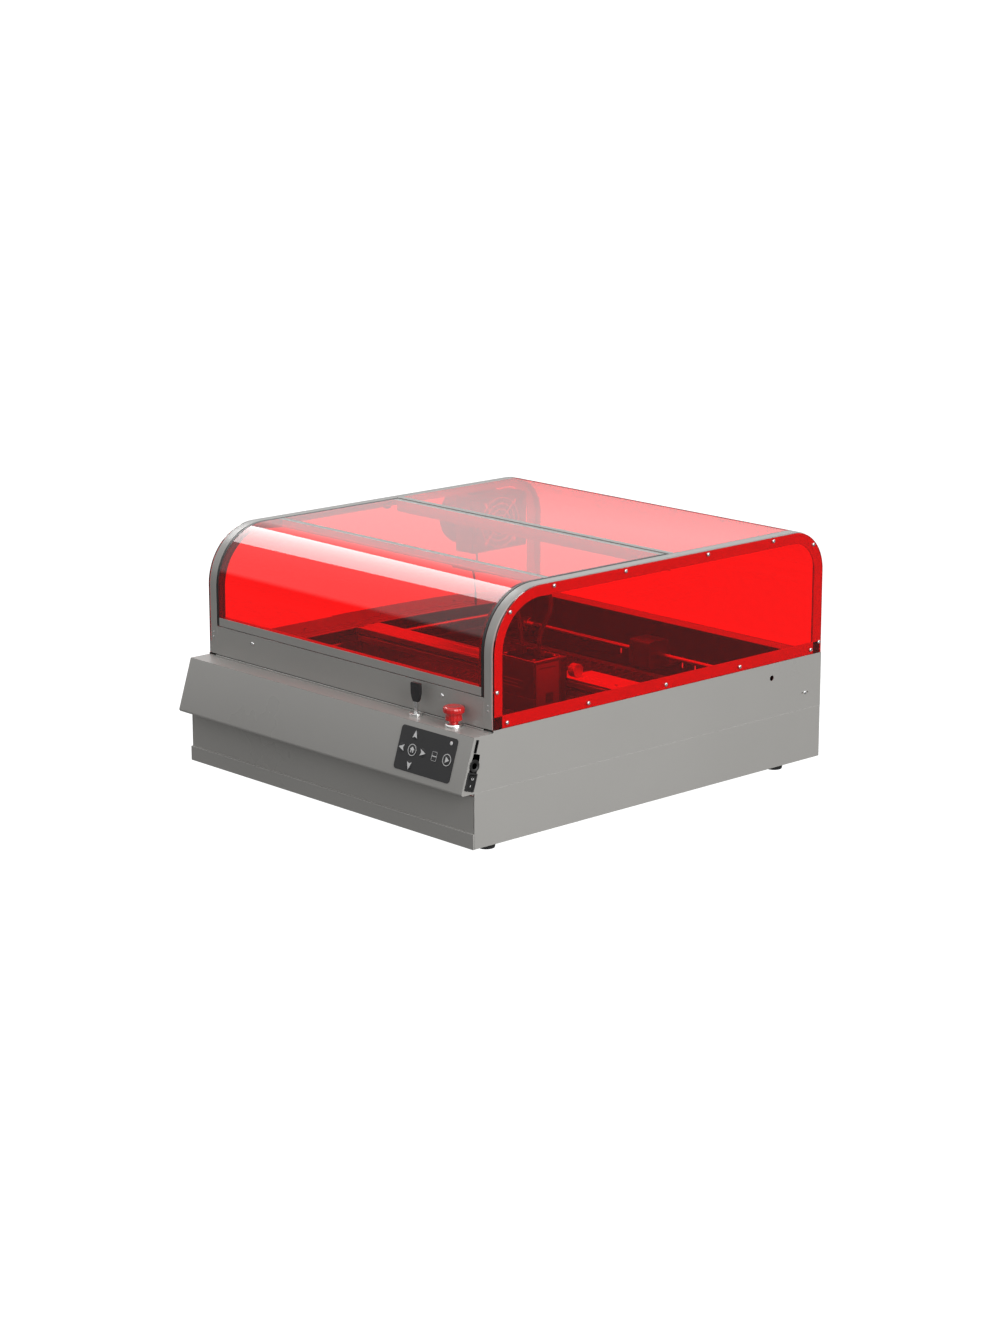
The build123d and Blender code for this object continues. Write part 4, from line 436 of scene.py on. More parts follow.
def new_group(name, inputs, outputs):
    """Empty node group with named sockets; returns the tree, its input node and its output node."""
    tree = bpy.data.node_groups.new(name, "ShaderNodeTree")
    for label, kind, value in inputs:
        socket = tree.interface.new_socket(label, in_out="INPUT", socket_type=kind)
        if value is not None:
            socket.default_value = value
    for label, kind in outputs:
        tree.interface.new_socket(label, in_out="OUTPUT", socket_type=kind)
    return tree, tree.nodes.new("NodeGroupInput"), tree.nodes.new("NodeGroupOutput")


def grain_group():
    """Fine noise for bump and slow noise for colour, both in Object coordinates."""
    name = "Grain"
    if name in bpy.data.node_groups:
        return bpy.data.node_groups[name]
    tree, given, result = new_group(
        name, [("Fine Scale", "NodeSocketFloat", 900.0), ("Slow Scale", "NodeSocketFloat", 9.0),
               ("Stretch", "NodeSocketVector", (1.0, 1.0, 1.0))],
        [("Height", "NodeSocketFloat"), ("Mottle", "NodeSocketFloat")])
    place = add_node(tree, "ShaderNodeTexCoord")
    stretched = add_node(tree, "ShaderNodeVectorMath", {"operation": "MULTIPLY"},
                         in0=place.outputs["Object"], in1=given.outputs["Stretch"])
    fine = add_node(tree, "ShaderNodeTexNoise", Vector=stretched.outputs[0],
                    Scale=given.outputs["Fine Scale"], Detail=2.0, Roughness=0.6)
    slow = add_node(tree, "ShaderNodeTexNoise", Vector=stretched.outputs[0],
                    Scale=given.outputs["Slow Scale"], Detail=4.0, Roughness=0.55)
    tree.links.new(fine.outputs["Fac"], result.inputs["Height"])
    tree.links.new(slow.outputs["Fac"], result.inputs["Mottle"])
    return tree


def wear_and_highlight_group():
    """Mask of convex edges, broken up by noise, which lightens them as worn paint and, on the grey paint, as
    a painted highlight; and dust that lies on what faces up.
    """
    name = "Wear"
    if name in bpy.data.node_groups:
        return bpy.data.node_groups[name]
    tree, given, result = new_group(
        name, [("Edge Amount", "NodeSocketFloat", 0.3), ("Dust Amount", "NodeSocketFloat", 0.05)],
        [("Edge", "NodeSocketFloat"), ("Dust", "NodeSocketFloat")])
    shape = add_node(tree, "ShaderNodeNewGeometry")
    place = add_node(tree, "ShaderNodeTexCoord")
    edge_breakup_noise = add_node(tree, "ShaderNodeTexNoise", Vector=place.outputs["Object"], Scale=160.0, Detail=3.0)
    rounded_normal = add_node(tree, "ShaderNodeBevel", {"samples": 3}, Radius=EDGE_LIGHTENING_REACH * MM)
    likeness = add_node(tree, "ShaderNodeVectorMath", {"operation": "DOT_PRODUCT"},
                        in0=rounded_normal.outputs[0], in1=shape.outputs["Normal"])
    edge = add_node(tree, "ShaderNodeMapRange", Value=likeness.outputs["Value"],
                    in1=0.99, in2=0.88, in3=0.0, in4=1.0)
    broken = add_node(tree, "ShaderNodeMapRange", Value=edge_breakup_noise.outputs["Fac"], in1=0.35, in2=0.65)
    both_masks = add_node(tree, "ShaderNodeMath", {"operation": "MULTIPLY"}, in0=edge.outputs[0],
                          in1=broken.outputs[0])
    edge_out = add_node(tree, "ShaderNodeMath", {"operation": "MULTIPLY"}, in0=both_masks.outputs[0],
                        in1=given.outputs["Edge Amount"])
    facing = add_node(tree, "ShaderNodeSeparateXYZ", Vector=shape.outputs["Normal"])
    upward = add_node(tree, "ShaderNodeMapRange", Value=facing.outputs["Z"], in1=0.6, in2=1.0)
    specks = add_node(tree, "ShaderNodeTexNoise", Vector=place.outputs["Object"], Scale=70.0, Detail=5.0)
    lying = add_node(tree, "ShaderNodeMath", {"operation": "MULTIPLY"}, in0=upward.outputs[0],
                     in1=specks.outputs["Fac"])
    dust_out = add_node(tree, "ShaderNodeMath", {"operation": "MULTIPLY"}, in0=lying.outputs[0],
                        in1=given.outputs["Dust Amount"])
    tree.links.new(edge_out.outputs[0], result.inputs["Edge"])
    tree.links.new(dust_out.outputs[0], result.inputs["Dust"])
    return tree


def chamber_group():
    """Mask of the points inside a box given by its two corners, in Object coordinates."""
    name = "Chamber"
    if name in bpy.data.node_groups:
        return bpy.data.node_groups[name]
    tree, given, result = new_group(
        name, [("Low", "NodeSocketVector", (0.0, 0.0, 0.0)), ("High", "NodeSocketVector", (1.0, 1.0, 1.0))],
        [("Inside", "NodeSocketFloat")])
    place = add_node(tree, "ShaderNodeTexCoord")
    above = add_node(tree, "ShaderNodeVectorMath", {"operation": "SUBTRACT"},
                     in0=place.outputs["Object"], in1=given.outputs["Low"])
    below = add_node(tree, "ShaderNodeVectorMath", {"operation": "SUBTRACT"},
                     in0=given.outputs["High"], in1=place.outputs["Object"])
    nearest = add_node(tree, "ShaderNodeVectorMath", {"operation": "MINIMUM"}, in0=above.outputs[0],
                       in1=below.outputs[0])
    parts = add_node(tree, "ShaderNodeSeparateXYZ", Vector=nearest.outputs[0])
    least = add_node(tree, "ShaderNodeMath", {"operation": "MINIMUM"}, in0=parts.outputs["X"],
                     in1=parts.outputs["Y"])
    least = add_node(tree, "ShaderNodeMath", {"operation": "MINIMUM"}, in0=least.outputs[0],
                     in1=parts.outputs["Z"])
    inside = add_node(tree, "ShaderNodeMath", {"operation": "GREATER_THAN"}, in0=least.outputs[0], in1=0.0)
    tree.links.new(inside.outputs[0], result.inputs["Inside"])
    return tree


def mixed(tree, factor, first, second, blend="MIX"):
    """Output socket of two colours mixed by a factor."""
    item = add_node(tree, "ShaderNodeMix", {"data_type": "RGBA", "blend_type": blend})
    for socket, value in ((item.inputs[0], factor), (item.inputs[6], first), (item.inputs[7], second)):
        if isinstance(value, bpy.types.NodeSocket):
            tree.links.new(value, socket)
        else:
            socket.default_value = value if isinstance(value, float) else (*value[:3], 1.0)
    return item.outputs[2]


def principled(name, **plain):
    """New material with its shader's plain values set; returns the material, tree and shader."""
    material = bpy.data.materials.new(name)
    material.use_nodes = True
    shader = next(n for n in material.node_tree.nodes if n.type == "BSDF_PRINCIPLED")
    for key, value in plain.items():
        shader.inputs[key.replace("_", " ")].default_value = value
    return material, material.node_tree, shader


def worked(name, colour, roughness, fine=900.0, slow=14.0, stretch=(1.0, 1.0, 1.0), bump=0.25,
           depth=0.06, mottle=0.12, rough_spread=0.12, edge=0.2, wear_and_highlight_colour=None, dust=0.04, **plain):
    """A finish with grain, slow colour change, lighter edges and a little dust; the lighter edges are worn
    paint and, on the grey paint, a painted highlight.

    stretch gives brushed streaks their direction, depth is the grain's height in millimetres.
    """
    material, tree, shader = principled(name, **plain)
    grain = add_node(tree, "ShaderNodeGroup", {"node_tree": grain_group()}, Fine_Scale=fine,
                     Slow_Scale=slow, Stretch=stretch)
    wear = add_node(tree, "ShaderNodeGroup", {"node_tree": wear_and_highlight_group()}, Edge_Amount=edge,
                    Dust_Amount=dust)
    colour = np.array(colour[:3])
    dark, light = colour * (1 - mottle), np.minimum(colour * (1 + mottle), 1.0)
    base = mixed(tree, grain.outputs["Mottle"], dark, light)
    base = mixed(tree, wear.outputs["Edge"], base,
                 wear_and_highlight_colour if wear_and_highlight_colour is not None else np.minimum(colour * 1.8 + 0.05, 1.0))
    base = mixed(tree, wear.outputs["Dust"], base, (0.55, 0.53, 0.5))
    tree.links.new(base, shader.inputs["Base Color"])
    rough = add_node(tree, "ShaderNodeMapRange", Value=grain.outputs["Mottle"], in1=0.25, in2=0.75,
                     in3=max(roughness - rough_spread / 2, 0.02), in4=roughness + rough_spread / 2)
    tree.links.new(rough.outputs[0], shader.inputs["Roughness"])
    relief = add_node(tree, "ShaderNodeBump", Strength=bump, Distance=depth * MM,
                      Height=grain.outputs["Height"])
    tree.links.new(relief.outputs[0], shader.inputs["Normal"])
    return material


def paint(chamber=False):
    """Satin grey powder coat; with chamber, what lies inside the work chamber is near black and reflects
    less: a dark coat darkened further as painted shade of the closed chamber.
    """
    settings = bpy.context.scene.cutter_paint
    name = "cutter_paint_with_painted_chamber_shade" if chamber else "cutter_paint"
    if name in bpy.data.materials:
        return bpy.data.materials[name]
    # The strong edge lightening and the light edge colour here are partly worn paint and partly painted
    # highlight lines along the folds and the lip.
    material = worked(name, settings.colour, settings.roughness, fine=1500.0, slow=5.0, bump=0.18,
                      depth=0.05, mottle=0.05, rough_spread=0.06, edge=settings.wear, dust=0.02,
                      wear_and_highlight_colour=(0.6, 0.59, 0.57))
    if not chamber:
        return material
    tree = material.node_tree
    shader = next(n for n in tree.nodes if n.type == "BSDF_PRINCIPLED")
    low = np.array([-HALF_WIDTH + SHEET / 2, HOOD_FRONT - SHEET + 1.0, 0.0]) * MM + SHIFT
    high = np.array([HALF_WIDTH - SHEET / 2, DEPTH - SHEET / 2, SHOULDER_Z - SHEET / 4]) * MM + SHIFT
    # Near-black colour and weaker reflection inside the chamber: painted shade over a dark coat.
    inside = add_node(tree, "ShaderNodeGroup", {"node_tree": chamber_group()}, Low=low, High=high)
    outside_colour = shader.inputs["Base Color"].links[0].from_socket
    tree.links.new(mixed(tree, inside.outputs[0], outside_colour, settings.inside),
                   shader.inputs["Base Color"])
    gloss = add_node(tree, "ShaderNodeMapRange", Value=inside.outputs[0], in1=0.0, in2=1.0, in3=0.5, in4=0.15)
    tree.links.new(gloss.outputs[0], shader.inputs["Specular IOR Level"])
    return material


def acrylic():
    """Clear tinted sheet: glass to the eye, and a plain filter to the light that comes through it."""
    settings = bpy.context.scene.cutter_acrylic
    name = "cutter_acrylic"
    if name in bpy.data.materials:
        return bpy.data.materials[name]
    material, tree, shader = principled(name, Transmission_Weight=1.0, IOR=1.49, Metallic=0.0)
    grain = add_node(tree, "ShaderNodeGroup", {"node_tree": grain_group()}, Fine_Scale=12.0,
                     Slow_Scale=3.0)
    tint = np.array(settings.tint)
    tree.links.new(mixed(tree, grain.outputs["Mottle"], tint * 0.97, np.minimum(tint * 1.03, 1.0)),
                   shader.inputs["Base Color"])
    rough = add_node(tree, "ShaderNodeMapRange", Value=grain.outputs["Height"], in1=0.3, in2=0.7,
                     in3=settings.roughness * 0.8, in4=settings.roughness * 1.2)
    tree.links.new(rough.outputs[0], shader.inputs["Roughness"])
    filter_shader = add_node(tree, "ShaderNodeBsdfTransparent", Color=(*settings.tint, 1.0))
    rays = add_node(tree, "ShaderNodeLightPath")
    mix = add_node(tree, "ShaderNodeMixShader", in0=rays.outputs["Is Shadow Ray"],
                   in1=shader.outputs[0], in2=filter_shader.outputs[0])
    output = next(n for n in tree.nodes if n.type == "OUTPUT_MATERIAL")
    tree.links.new(mix.outputs[0], output.inputs["Surface"])
    return material


FINISHES = {
    "black_trim": dict(colour=(0.018, 0.018, 0.019), roughness=0.42, fine=1200.0, bump=0.35, depth=0.08,
                       edge=0.12),
    "screw_steel": dict(colour=(0.72, 0.72, 0.72), roughness=0.26, Metallic=1.0, fine=2500.0, edge=0.1,
                        mottle=0.08),
    "foot_rubber": dict(colour=(0.02, 0.02, 0.021), roughness=0.75, fine=900.0, bump=0.5, depth=0.1),
    "belt_rubber": dict(colour=(0.022, 0.022, 0.024), roughness=0.7, fine=1800.0, bump=0.4,
                        stretch=(1.0, 0.2, 1.0)),
    "keypad_film": dict(colour=(0.017, 0.017, 0.018), roughness=0.55, fine=2600.0, bump=0.3, depth=0.03,
                        edge=0.1, mottle=0.06),
    "print_white": dict(colour=(0.72, 0.72, 0.72), roughness=0.5, fine=2000.0, bump=0.1, mottle=0.03,
                        edge=0.0),
    "stop_red": dict(colour=(0.62, 0.012, 0.012), roughness=0.2, fine=1200.0, bump=0.08, depth=0.04,
                     Coat_Weight=0.5, Coat_Roughness=0.08, edge=0.15),
    "collar_silver": dict(colour=(0.78, 0.78, 0.77), roughness=0.24, Metallic=1.0, fine=1500.0,
                          stretch=(1.0, 1.0, 6.0), edge=0.1),
    "port_black": dict(colour=(0.014, 0.014, 0.014), roughness=0.38, fine=1500.0, bump=0.25),
    "board_green": dict(colour=(0.012, 0.12, 0.045), roughness=0.3, fine=1200.0, slow=60.0, bump=0.2,
                        mottle=0.3, Coat_Weight=0.3),
    "cable_black": dict(colour=(0.02, 0.02, 0.02), roughness=0.45, fine=2200.0, bump=0.3, depth=0.05),
    "bed_steel": dict(colour=(0.16, 0.16, 0.16), roughness=0.5, Metallic=0.9, fine=700.0, slow=30.0,
                      stretch=(1.0, 0.15, 1.0), bump=0.4, mottle=0.3),
    "bracket_black": dict(colour=(0.03, 0.03, 0.032), roughness=0.35, Metallic=0.6, fine=1500.0,
                          edge=0.35),
    "beam_alloy": dict(colour=(0.62, 0.62, 0.63), roughness=0.32, Metallic=1.0, fine=1400.0,
                       stretch=(0.04, 1.0, 1.0), bump=0.35, depth=0.04, mottle=0.1),
    "plate_alloy": dict(colour=(0.8, 0.8, 0.8), roughness=0.25, Metallic=1.0, fine=1400.0,
                        stretch=(0.05, 1.0, 1.0), bump=0.3, depth=0.03),
    "motor_black": dict(colour=(0.025, 0.025, 0.026), roughness=0.4, fine=1500.0, bump=0.35),
    "lamination": dict(colour=(0.07, 0.07, 0.07), roughness=0.45, Metallic=0.7, fine=2400.0,
                       stretch=(0.05, 0.05, 2.0), bump=0.8, depth=0.1),
    "pulley_alloy": dict(colour=(0.76, 0.76, 0.76), roughness=0.22, Metallic=1.0, fine=1500.0),
    "head_black": dict(colour=(0.03, 0.03, 0.031), roughness=0.36, Metallic=0.3, fine=1800.0, edge=0.3),
    "side_grey": dict(colour=(0.2, 0.2, 0.2), roughness=0.4, Metallic=0.6, fine=1800.0),
}


def finish(name):
    """A named finish, made the first time it is asked for."""
    own_name = "cutter_" + name
    if own_name not in bpy.data.materials:
        worked(own_name, **FINISHES[name])
    return bpy.data.materials[own_name]


# ---- sheet metal -----------------------------------------------------------------------------------
def console_section():
    """Section of the folded console sheet, as (y, z).

    It goes over the deck, the top fold, the sloping face and its rounded lower corner, and back inside.
    """
    fold = bpy.context.scene.cutter_edges.fold
    fold_turn = math.pi / 2 - FACE_ANGLE
    setback = fold * math.tan(fold_turn / 2)
    top = DECK_Z + HIDE_EPS
    deck_back = HOOD_FRONT + 10.0
    turn = np.linspace(0, fold_turn, 8)
    centre = np.array([setback, top - fold])
    bend = centre + fold * np.stack([-np.sin(turn), np.cos(turn)], 1)
    lower = np.array([-CONSOLE_REACH, CONSOLE_EDGE_Z])
    corner = [lower + (0.35, 1.2), lower + (0.1, 0.2), lower + (0.3, -1.0), lower + (1.0, -2.1),
              lower + (2.2, -2.5)]
    outer = [(deck_back, top), *bend, *corner, (-0.2, SEAM_Z)]
    inner = [(-0.2, SEAM_Z + 1.2), lower + (3.0, -1.0), (setback + 0.6, top - fold), (deck_back, top - 1.0)]
    return np.array([tuple(p) for p in outer + inner])


def hem_section():
    """Section of the small hem under the console, with a rounded lower edge."""
    low, high = SEAM_Z - 2.5, SEAM_Z + 0.1
    nose = arc_points((-1.7, low + 1.25), 1.25, 90, 270, 7)
    return np.concatenate([[(0.0, high), (-1.7, high)], nose, [(0.0, low)]])


def hood_path(inset, start, stop, bend_steps=28):
    """Side view of the hood at an inset, as (y, z) points and inward normals.

    start and stop are ("front", z), ("top", y) or ("rear", z): a place on the front leg, on the flat
    top or on the back. Bends between them are quarter circles.
    """
    order = ("front", "top", "rear")
    first, last = order.index(start[0]), order.index(stop[0])
    points, normals = [], []

    def put(kind, value):
        flat = {"front": (HOOD_FRONT + inset, value), "top": (value, HOOD_TOP - inset),
                "rear": (DEPTH - inset, value)}[kind]
        points.append(flat)
        normals.append({"front": (1, 0), "top": (0, -1), "rear": (-1, 0)}[kind])

    put(*start)
    bends = ((FRONT_BEND, HOOD_FRONT + FRONT_BEND, 180), (REAR_BEND, DEPTH - REAR_BEND, 90))
    for radius, centre_y, begin in bends[first:last]:
        turn = np.radians(np.linspace(begin, begin - 90, bend_steps))
        ray = np.stack([np.cos(turn), np.sin(turn)], 1)
        points += (np.array((centre_y, HOOD_TOP - radius)) + (radius - inset) * ray).tolist()
        normals += (-ray).tolist()
    put(*stop)
    return np.array(points, float), np.array(normals, float)


def hood_sweep(outline, start, stop, material=0):
    """An outline of (x, inset) carried along the hood's side view."""
    points, normals = hood_path(0.0, start, stop)
    zeros = np.zeros(len(points))
    origins = np.stack([zeros, points[:, 0], points[:, 1]], 1)
    inward = np.stack([zeros, normals[:, 0], normals[:, 1]], 1)
    along = np.repeat([X_DIR], len(points), 0)
    return swept(np.asarray(outline, float), origins, along, inward, material=material)


def arch_section():
    """Section of an arch, as (x, inset): a rim on edge, folded into the flange for the window."""
    fold = bpy.context.scene.cutter_edges.fold
    out = RIM_OUT
    bend = arc_points((out - fold, fold), fold, -90, 0, 6)
    inner_bend = arc_points((out - SHEET - 0.6, SHEET + 0.6), 0.6, 0, -90, 3)
    return np.concatenate([[(RIM_IN, SHEET), (RIM_IN, 0.0)], bend, [(out, ARCH_FLANGE),
                           (out - SHEET, ARCH_FLANGE)], inner_bend])


def arch_shells():
    """Right-hand arch: the hood's side view in folded sheet, and its foot along the shoulder."""
    low = SHOULDER_Z
    shells = [hood_sweep(arch_section(), ("front", low), ("rear", low))]
    foot_y = (HOOD_FRONT + 0.1, DEPTH - 0.1)
    foot = [(RIM_IN, low), (RIM_OUT, low), (RIM_OUT, low + ARCH_FLANGE), (RIM_OUT - SHEET, low + ARCH_FLANGE),
            (RIM_OUT - SHEET, low + SHEET), (RIM_IN, low + SHEET)]
    shells.append(prism([(z, x) for x, z in foot], foot_y, u=Z_DIR, v=X_DIR))
    return shells


def hood_outline(inset, low):
    """Closed side view of the hood at an inset, as (y, z)."""
    points, _ = hood_path(inset, ("front", low), ("rear", low), bend_steps=40)
    return points


class CUTTER_OT_sheet_metal(bpy.types.Operator):
    """Add the base tray, the upper chassis, the console, the apron and the debris drawer"""
    bl_idname = "cutter.sheet_metal"
    bl_label = "Sheet metal"

    def execute(self, context):
        edge = context.scene.cutter_edges.edge
        refined("base_tray", "tray_shell", paint(chamber=True), edge)

        def deck_corner(middle):
            return (np.abs(middle[:, 1]) < 2.0) & (np.abs(middle[:, 2] - DECK_Z) < 2.0)
        refined("upper_chassis", "chassis_shell", paint(chamber=True), edge,
                longest=1.9, bold=deck_corner)
        refined("front_apron", "apron_panel", paint(chamber=True), edge)

        drawer_foot = span("debris_drawer")[0][2]

        def lip_edge(middle):
            return (middle[:, 1] < -2.0) & (middle[:, 2] > drawer_foot + 15.0)
        refined("debris_drawer", "drawer_tray", paint(), edge, bold=lip_edge)
        refined("drawer_runners", "drawer_runner_pair", finish("bed_steel"), edge)
        sides = (-WALL_IN + FIT, WALL_IN - FIT)
        skin = [along_x(console_section(), sides), along_x(hem_section(), sides)]
        put_in_scene("console_cover", skin, [paint()], "chassis", ["console_shell"])
        return {"FINISHED"}


class CUTTER_OT_arches(bpy.types.Operator):
    """Add the two arches and the crossbar between them"""
    bl_idname = "cutter.arches"
    bl_label = "Arches"

    def execute(self, context):
        edge = context.scene.cutter_edges.edge
        put_in_scene("arch_pair", both(arch_shells()), [paint()], "chassis",
                     ["arch_frames"], edge=edge * 0.6)
        refined("rear_crossbar", "fixed_crossbar", paint(), edge)
        _, centre_y, centre_z = middle_of("lid_pivot_pins")
        inner, boss = GLASS_HALF - 6.0, LID_HALF + 0.75
        profile = [(0, inner), (2.4, inner), (3.0, inner + 0.6), (3.0, boss), (5.6, boss), (6.0, boss + 0.5),
                   (6.0, RIM_OUT - SHEET), (0, RIM_OUT - SHEET)]
        pin = turned(profile, (0, centre_y, centre_z), X_DIR)
        put_in_scene("hinge_pins", both([pin]), [finish("screw_steel")], "chassis",
                     ["lid_pivot_pins"])
        return {"FINISHED"}


class CUTTER_OT_windows(bpy.types.Operator):
    """Add the fixed side windows and the bent rear window"""
    bl_idname = "cutter.windows"
    bl_label = "Fixed windows"

    def execute(self, context):
        glass = [acrylic()]
        edge = context.scene.cutter_edges.edge
        outline = hood_outline(1.0, SHOULDER_Z + FIT)
        side = (RIM_OUT + 0.02, HALF_WIDTH - 0.02)
        put_in_scene("right_window_pane", [along_x(outline, side)], glass, "chassis",
                     ["side_window_right"], edge=edge)
        left = plate_with_hole(outline, middle_of("exhaust_fan_rotor")[1:], SPIGOT_BORE, (-side[1], -side[0]))
        put_in_scene("left_window_pane", [left], glass, "chassis", ["side_window_left"],
                     edge=edge)
        start = span("rear_window")[0][1]
        skin = rectangle((-RIM_IN + FIT, RIM_IN - FIT), (0.0, ACRYLIC))
        rear = hood_sweep(skin, ("top", start + FIT), ("rear", SHOULDER_Z + FIT))
        put_in_scene("rear_window_pane", [rear], glass, "chassis", ["rear_window"], edge=edge)
        return {"FINISHED"}


def plate_with_hole(outline, centre, radius, x):
    """Plate of (y, z) outline with a round hole.

    The outline is resampled by angle about the hole's centre, and each face is a ring of quads
    between the outline and the hole.
    """
    closed = np.concatenate([outline, outline[:1]])
    steps = np.linspace(0, 1, 8)[:-1]
    dense = np.concatenate([a + (b - a) * steps[:, None] for a, b in zip(closed, closed[1:])])
    offset = dense - centre
    dense = dense[np.argsort(np.arctan2(offset[:, 1], offset[:, 0]))]
    offset = dense - centre
    rim = centre + radius * offset / np.linalg.norm(offset, axis=1, keepdims=True)
    loops = [(x[0], dense), (x[1], dense), (x[1], rim), (x[0], rim)]
    points = np.stack([np.column_stack([np.full(len(loop), level), loop]) for level, loop in loops])
    return grid_shell(points, wrap_rows=True)


class CUTTER_OT_lid(bpy.types.Operator):
    """Add the lid: two windows, side frames, front rail and two bars"""
    bl_idname = "cutter.lid"
    bl_label = "Lid"

    def execute(self, context):
        edge = context.scene.cutter_edges.edge
        glass = [acrylic()]
        low = span("lid_front_window")[0][2]
        bar_front = span("lid_front_window")[1][1]
        skin = rectangle((-GLASS_HALF + FIT, GLASS_HALF - FIT), (0.0, ACRYLIC))
        front = hood_sweep(skin, ("front", low + FIT), ("top", bar_front - FIT))
        put_in_scene("lid_bent_pane", [front], glass, "lid", ["lid_front_window"], edge=edge)
        top_low, top_high = span("lid_top_window")
        top = hood_sweep(skin, ("top", top_low[1] + FIT), ("top", top_high[1] - FIT))
        put_in_scene("lid_flat_pane", [top], glass, "lid", ["lid_top_window"], edge=edge)
        frame_low, frame_high = span("lid_side_frames")
        depth, ledge = 9.0, 6.0
        section = [(GLASS_HALF, 0.0), (LID_HALF, 0.0), (LID_HALF, depth), (GLASS_HALF - ledge, depth),
                   (GLASS_HALF - ledge, ACRYLIC + 0.1), (GLASS_HALF, ACRYLIC + 0.1)]
        strip = hood_sweep(section, ("front", frame_low[2]), ("top", frame_high[1]))
        _, centre_y, centre_z = middle_of("lid_pivot_pins")
        bore, lug_radius = 3.05, frame_high[2] - centre_z
        lug = hollow([(bore, GLASS_HALF + 0.1), (lug_radius - 0.4, GLASS_HALF + 0.1),
                      (lug_radius, GLASS_HALF + 0.5), (lug_radius, LID_HALF - 0.4),
                      (lug_radius - 0.4, LID_HALF), (bore, LID_HALF), (bore, GLASS_HALF + 0.1)],
                     (0, centre_y, centre_z), X_DIR)
        put_in_scene("lid_strips", both([strip, lug]), [finish("black_trim")], "lid",
                     ["lid_side_frames"], edge=edge * 0.7)
        refined("lid_front_rail", "lid_rail", paint(), edge)
        refined("lid_crossbars", "lid_bars", paint(), edge)
        return {"FINISHED"}


# ---- screws and feet -------------------------------------------------------------------------------
APRON_SCREW_X = 200.0
APRON_SCREW_RISE = 32.0
WALL_SCREW_INSET = 33.0
WALL_SCREW_DROP = 54.0
RIM_SCREW_RISES = (24.5, 31.5)
FOOT_RADIUS = 13.0


def window_screw_places():
    """Places (y, z) of a side window's screws: rows along its foot and its top, one in each bend."""
    inset = 6.0
    places = [(y, SHOULDER_Z + 7.0) for y in np.linspace(HOOD_FRONT + 24.0, DEPTH - 23.0, 5)]
    front, rear = HOOD_FRONT + FRONT_BEND + 23.0, DEPTH - REAR_BEND - 45.0
    places += [(y, HOOD_TOP - inset) for y in (front, front + 133.0, rear - 133.0, rear)]
    reach = math.cos(math.pi / 4)
    places.append((HOOD_FRONT + FRONT_BEND - (FRONT_BEND - inset) * reach,
                   HOOD_TOP - FRONT_BEND + (FRONT_BEND - inset) * reach))
    places.append((DEPTH - REAR_BEND + (REAR_BEND - inset) * reach,
                   HOOD_TOP - REAR_BEND + (REAR_BEND - inset) * reach))
    return places + [(HOOD_FRONT + inset, SHOULDER_Z + 50.0), (DEPTH - inset, SHOULDER_Z + 16.0)]


def pan_screw(origin, axis):
    """Button-head screw: a domed head turned about its axis, with a hexagonal socket sunk in its top."""
    profile = [(0, -8.0), (1.45, -8.0), (1.45, 0), (2.75, 0), (2.75, 0.35), (2.55, 0.95), (2.1, 1.4),
               (1.55, 1.6), (1.0, 1.6), (0.95, 0.7), (0, 0.6)]
    return turned(profile, origin, axis, steps=24, sides={8: 6, 9: 6})


class CUTTER_OT_screws(bpy.types.Operator):
    """Add every visible screw, and the four rubber feet"""
    bl_idname = "cutter.screws"
    bl_label = "Screws and feet"

    def execute(self, context):
        screws = both([pan_screw((HALF_WIDTH, y, z), X_DIR) for y, z in window_screw_places()])
        screws += both([pan_screw((APRON_SCREW_X, HOOD_FRONT, DECK_Z + APRON_SCREW_RISE), -Y_DIR)])
        screws.append(pan_screw((HALF_WIDTH, DEPTH - WALL_SCREW_INSET, SHOULDER_Z - WALL_SCREW_DROP), X_DIR))
        small = [(0, -2.0), (1.3, -2.0), (1.3, 0.3), (1.05, 0.6), (0.6, 0.6), (0.5, 0.3), (0, 0.3)]
        for rise in RIM_SCREW_RISES:
            place = ((RIM_IN + RIM_OUT) / 2, HOOD_FRONT, SHOULDER_Z + rise)
            screws += both([turned(small, place, -Y_DIR, steps=16)])
        put_in_scene("panel_screw_set", screws, [finish("screw_steel")], "chassis",
                     ["panel_screws"])
        profile = [(0, 0), (10.6, 0), (11.6, 0.5), (12.0, 1.6), (12.2, 4.0), (12.6, 4.4), (12.6, 5.2),
                   (12.3, 5.6), (FOOT_RADIUS, 12.9), (0, 13.0)]
        low, high = span("rubber_feet")
        feet = [turned(profile, (x, y, 0), steps=48)
                for x in (low[0] + FOOT_RADIUS, high[0] - FOOT_RADIUS)
                for y in (low[1] + FOOT_RADIUS, high[1] - FOOT_RADIUS)]
        put_in_scene("foot_set", feet, [finish("foot_rubber")], "chassis", ["rubber_feet"])
        return {"FINISHED"}


# ---- console fittings ------------------------------------------------------------------------------
PAD_WIDTH = 110.0
PAD_HEIGHT = 59.5
PAD_LEFT = HALF_WIDTH - 137.0
PAD_TOP = 7.5                # down the slope from the fold to the plate
PAD_THICK = 0.8
KEY_PROUD = 0.3
KEY_ROW = 37.5
HOME_X = PAD_LEFT + 29.0
ARROW_SPREAD = 20.3
ROUND_KEY = 9.2
ARROW_KEY = 6.2
PRINT = (0.0, 0.14)          # underside and top of printed signs, above the cap


def on_face(shell, x, down):
    """Move a shell from its own axes to the sloping face: x to the right, y up the slope, z out."""
    return shell.placed(np.array([x, 0, DECK_Z]) - down * SLOPE_UP, X_DIR, SLOPE_UP, FACE_OUT)


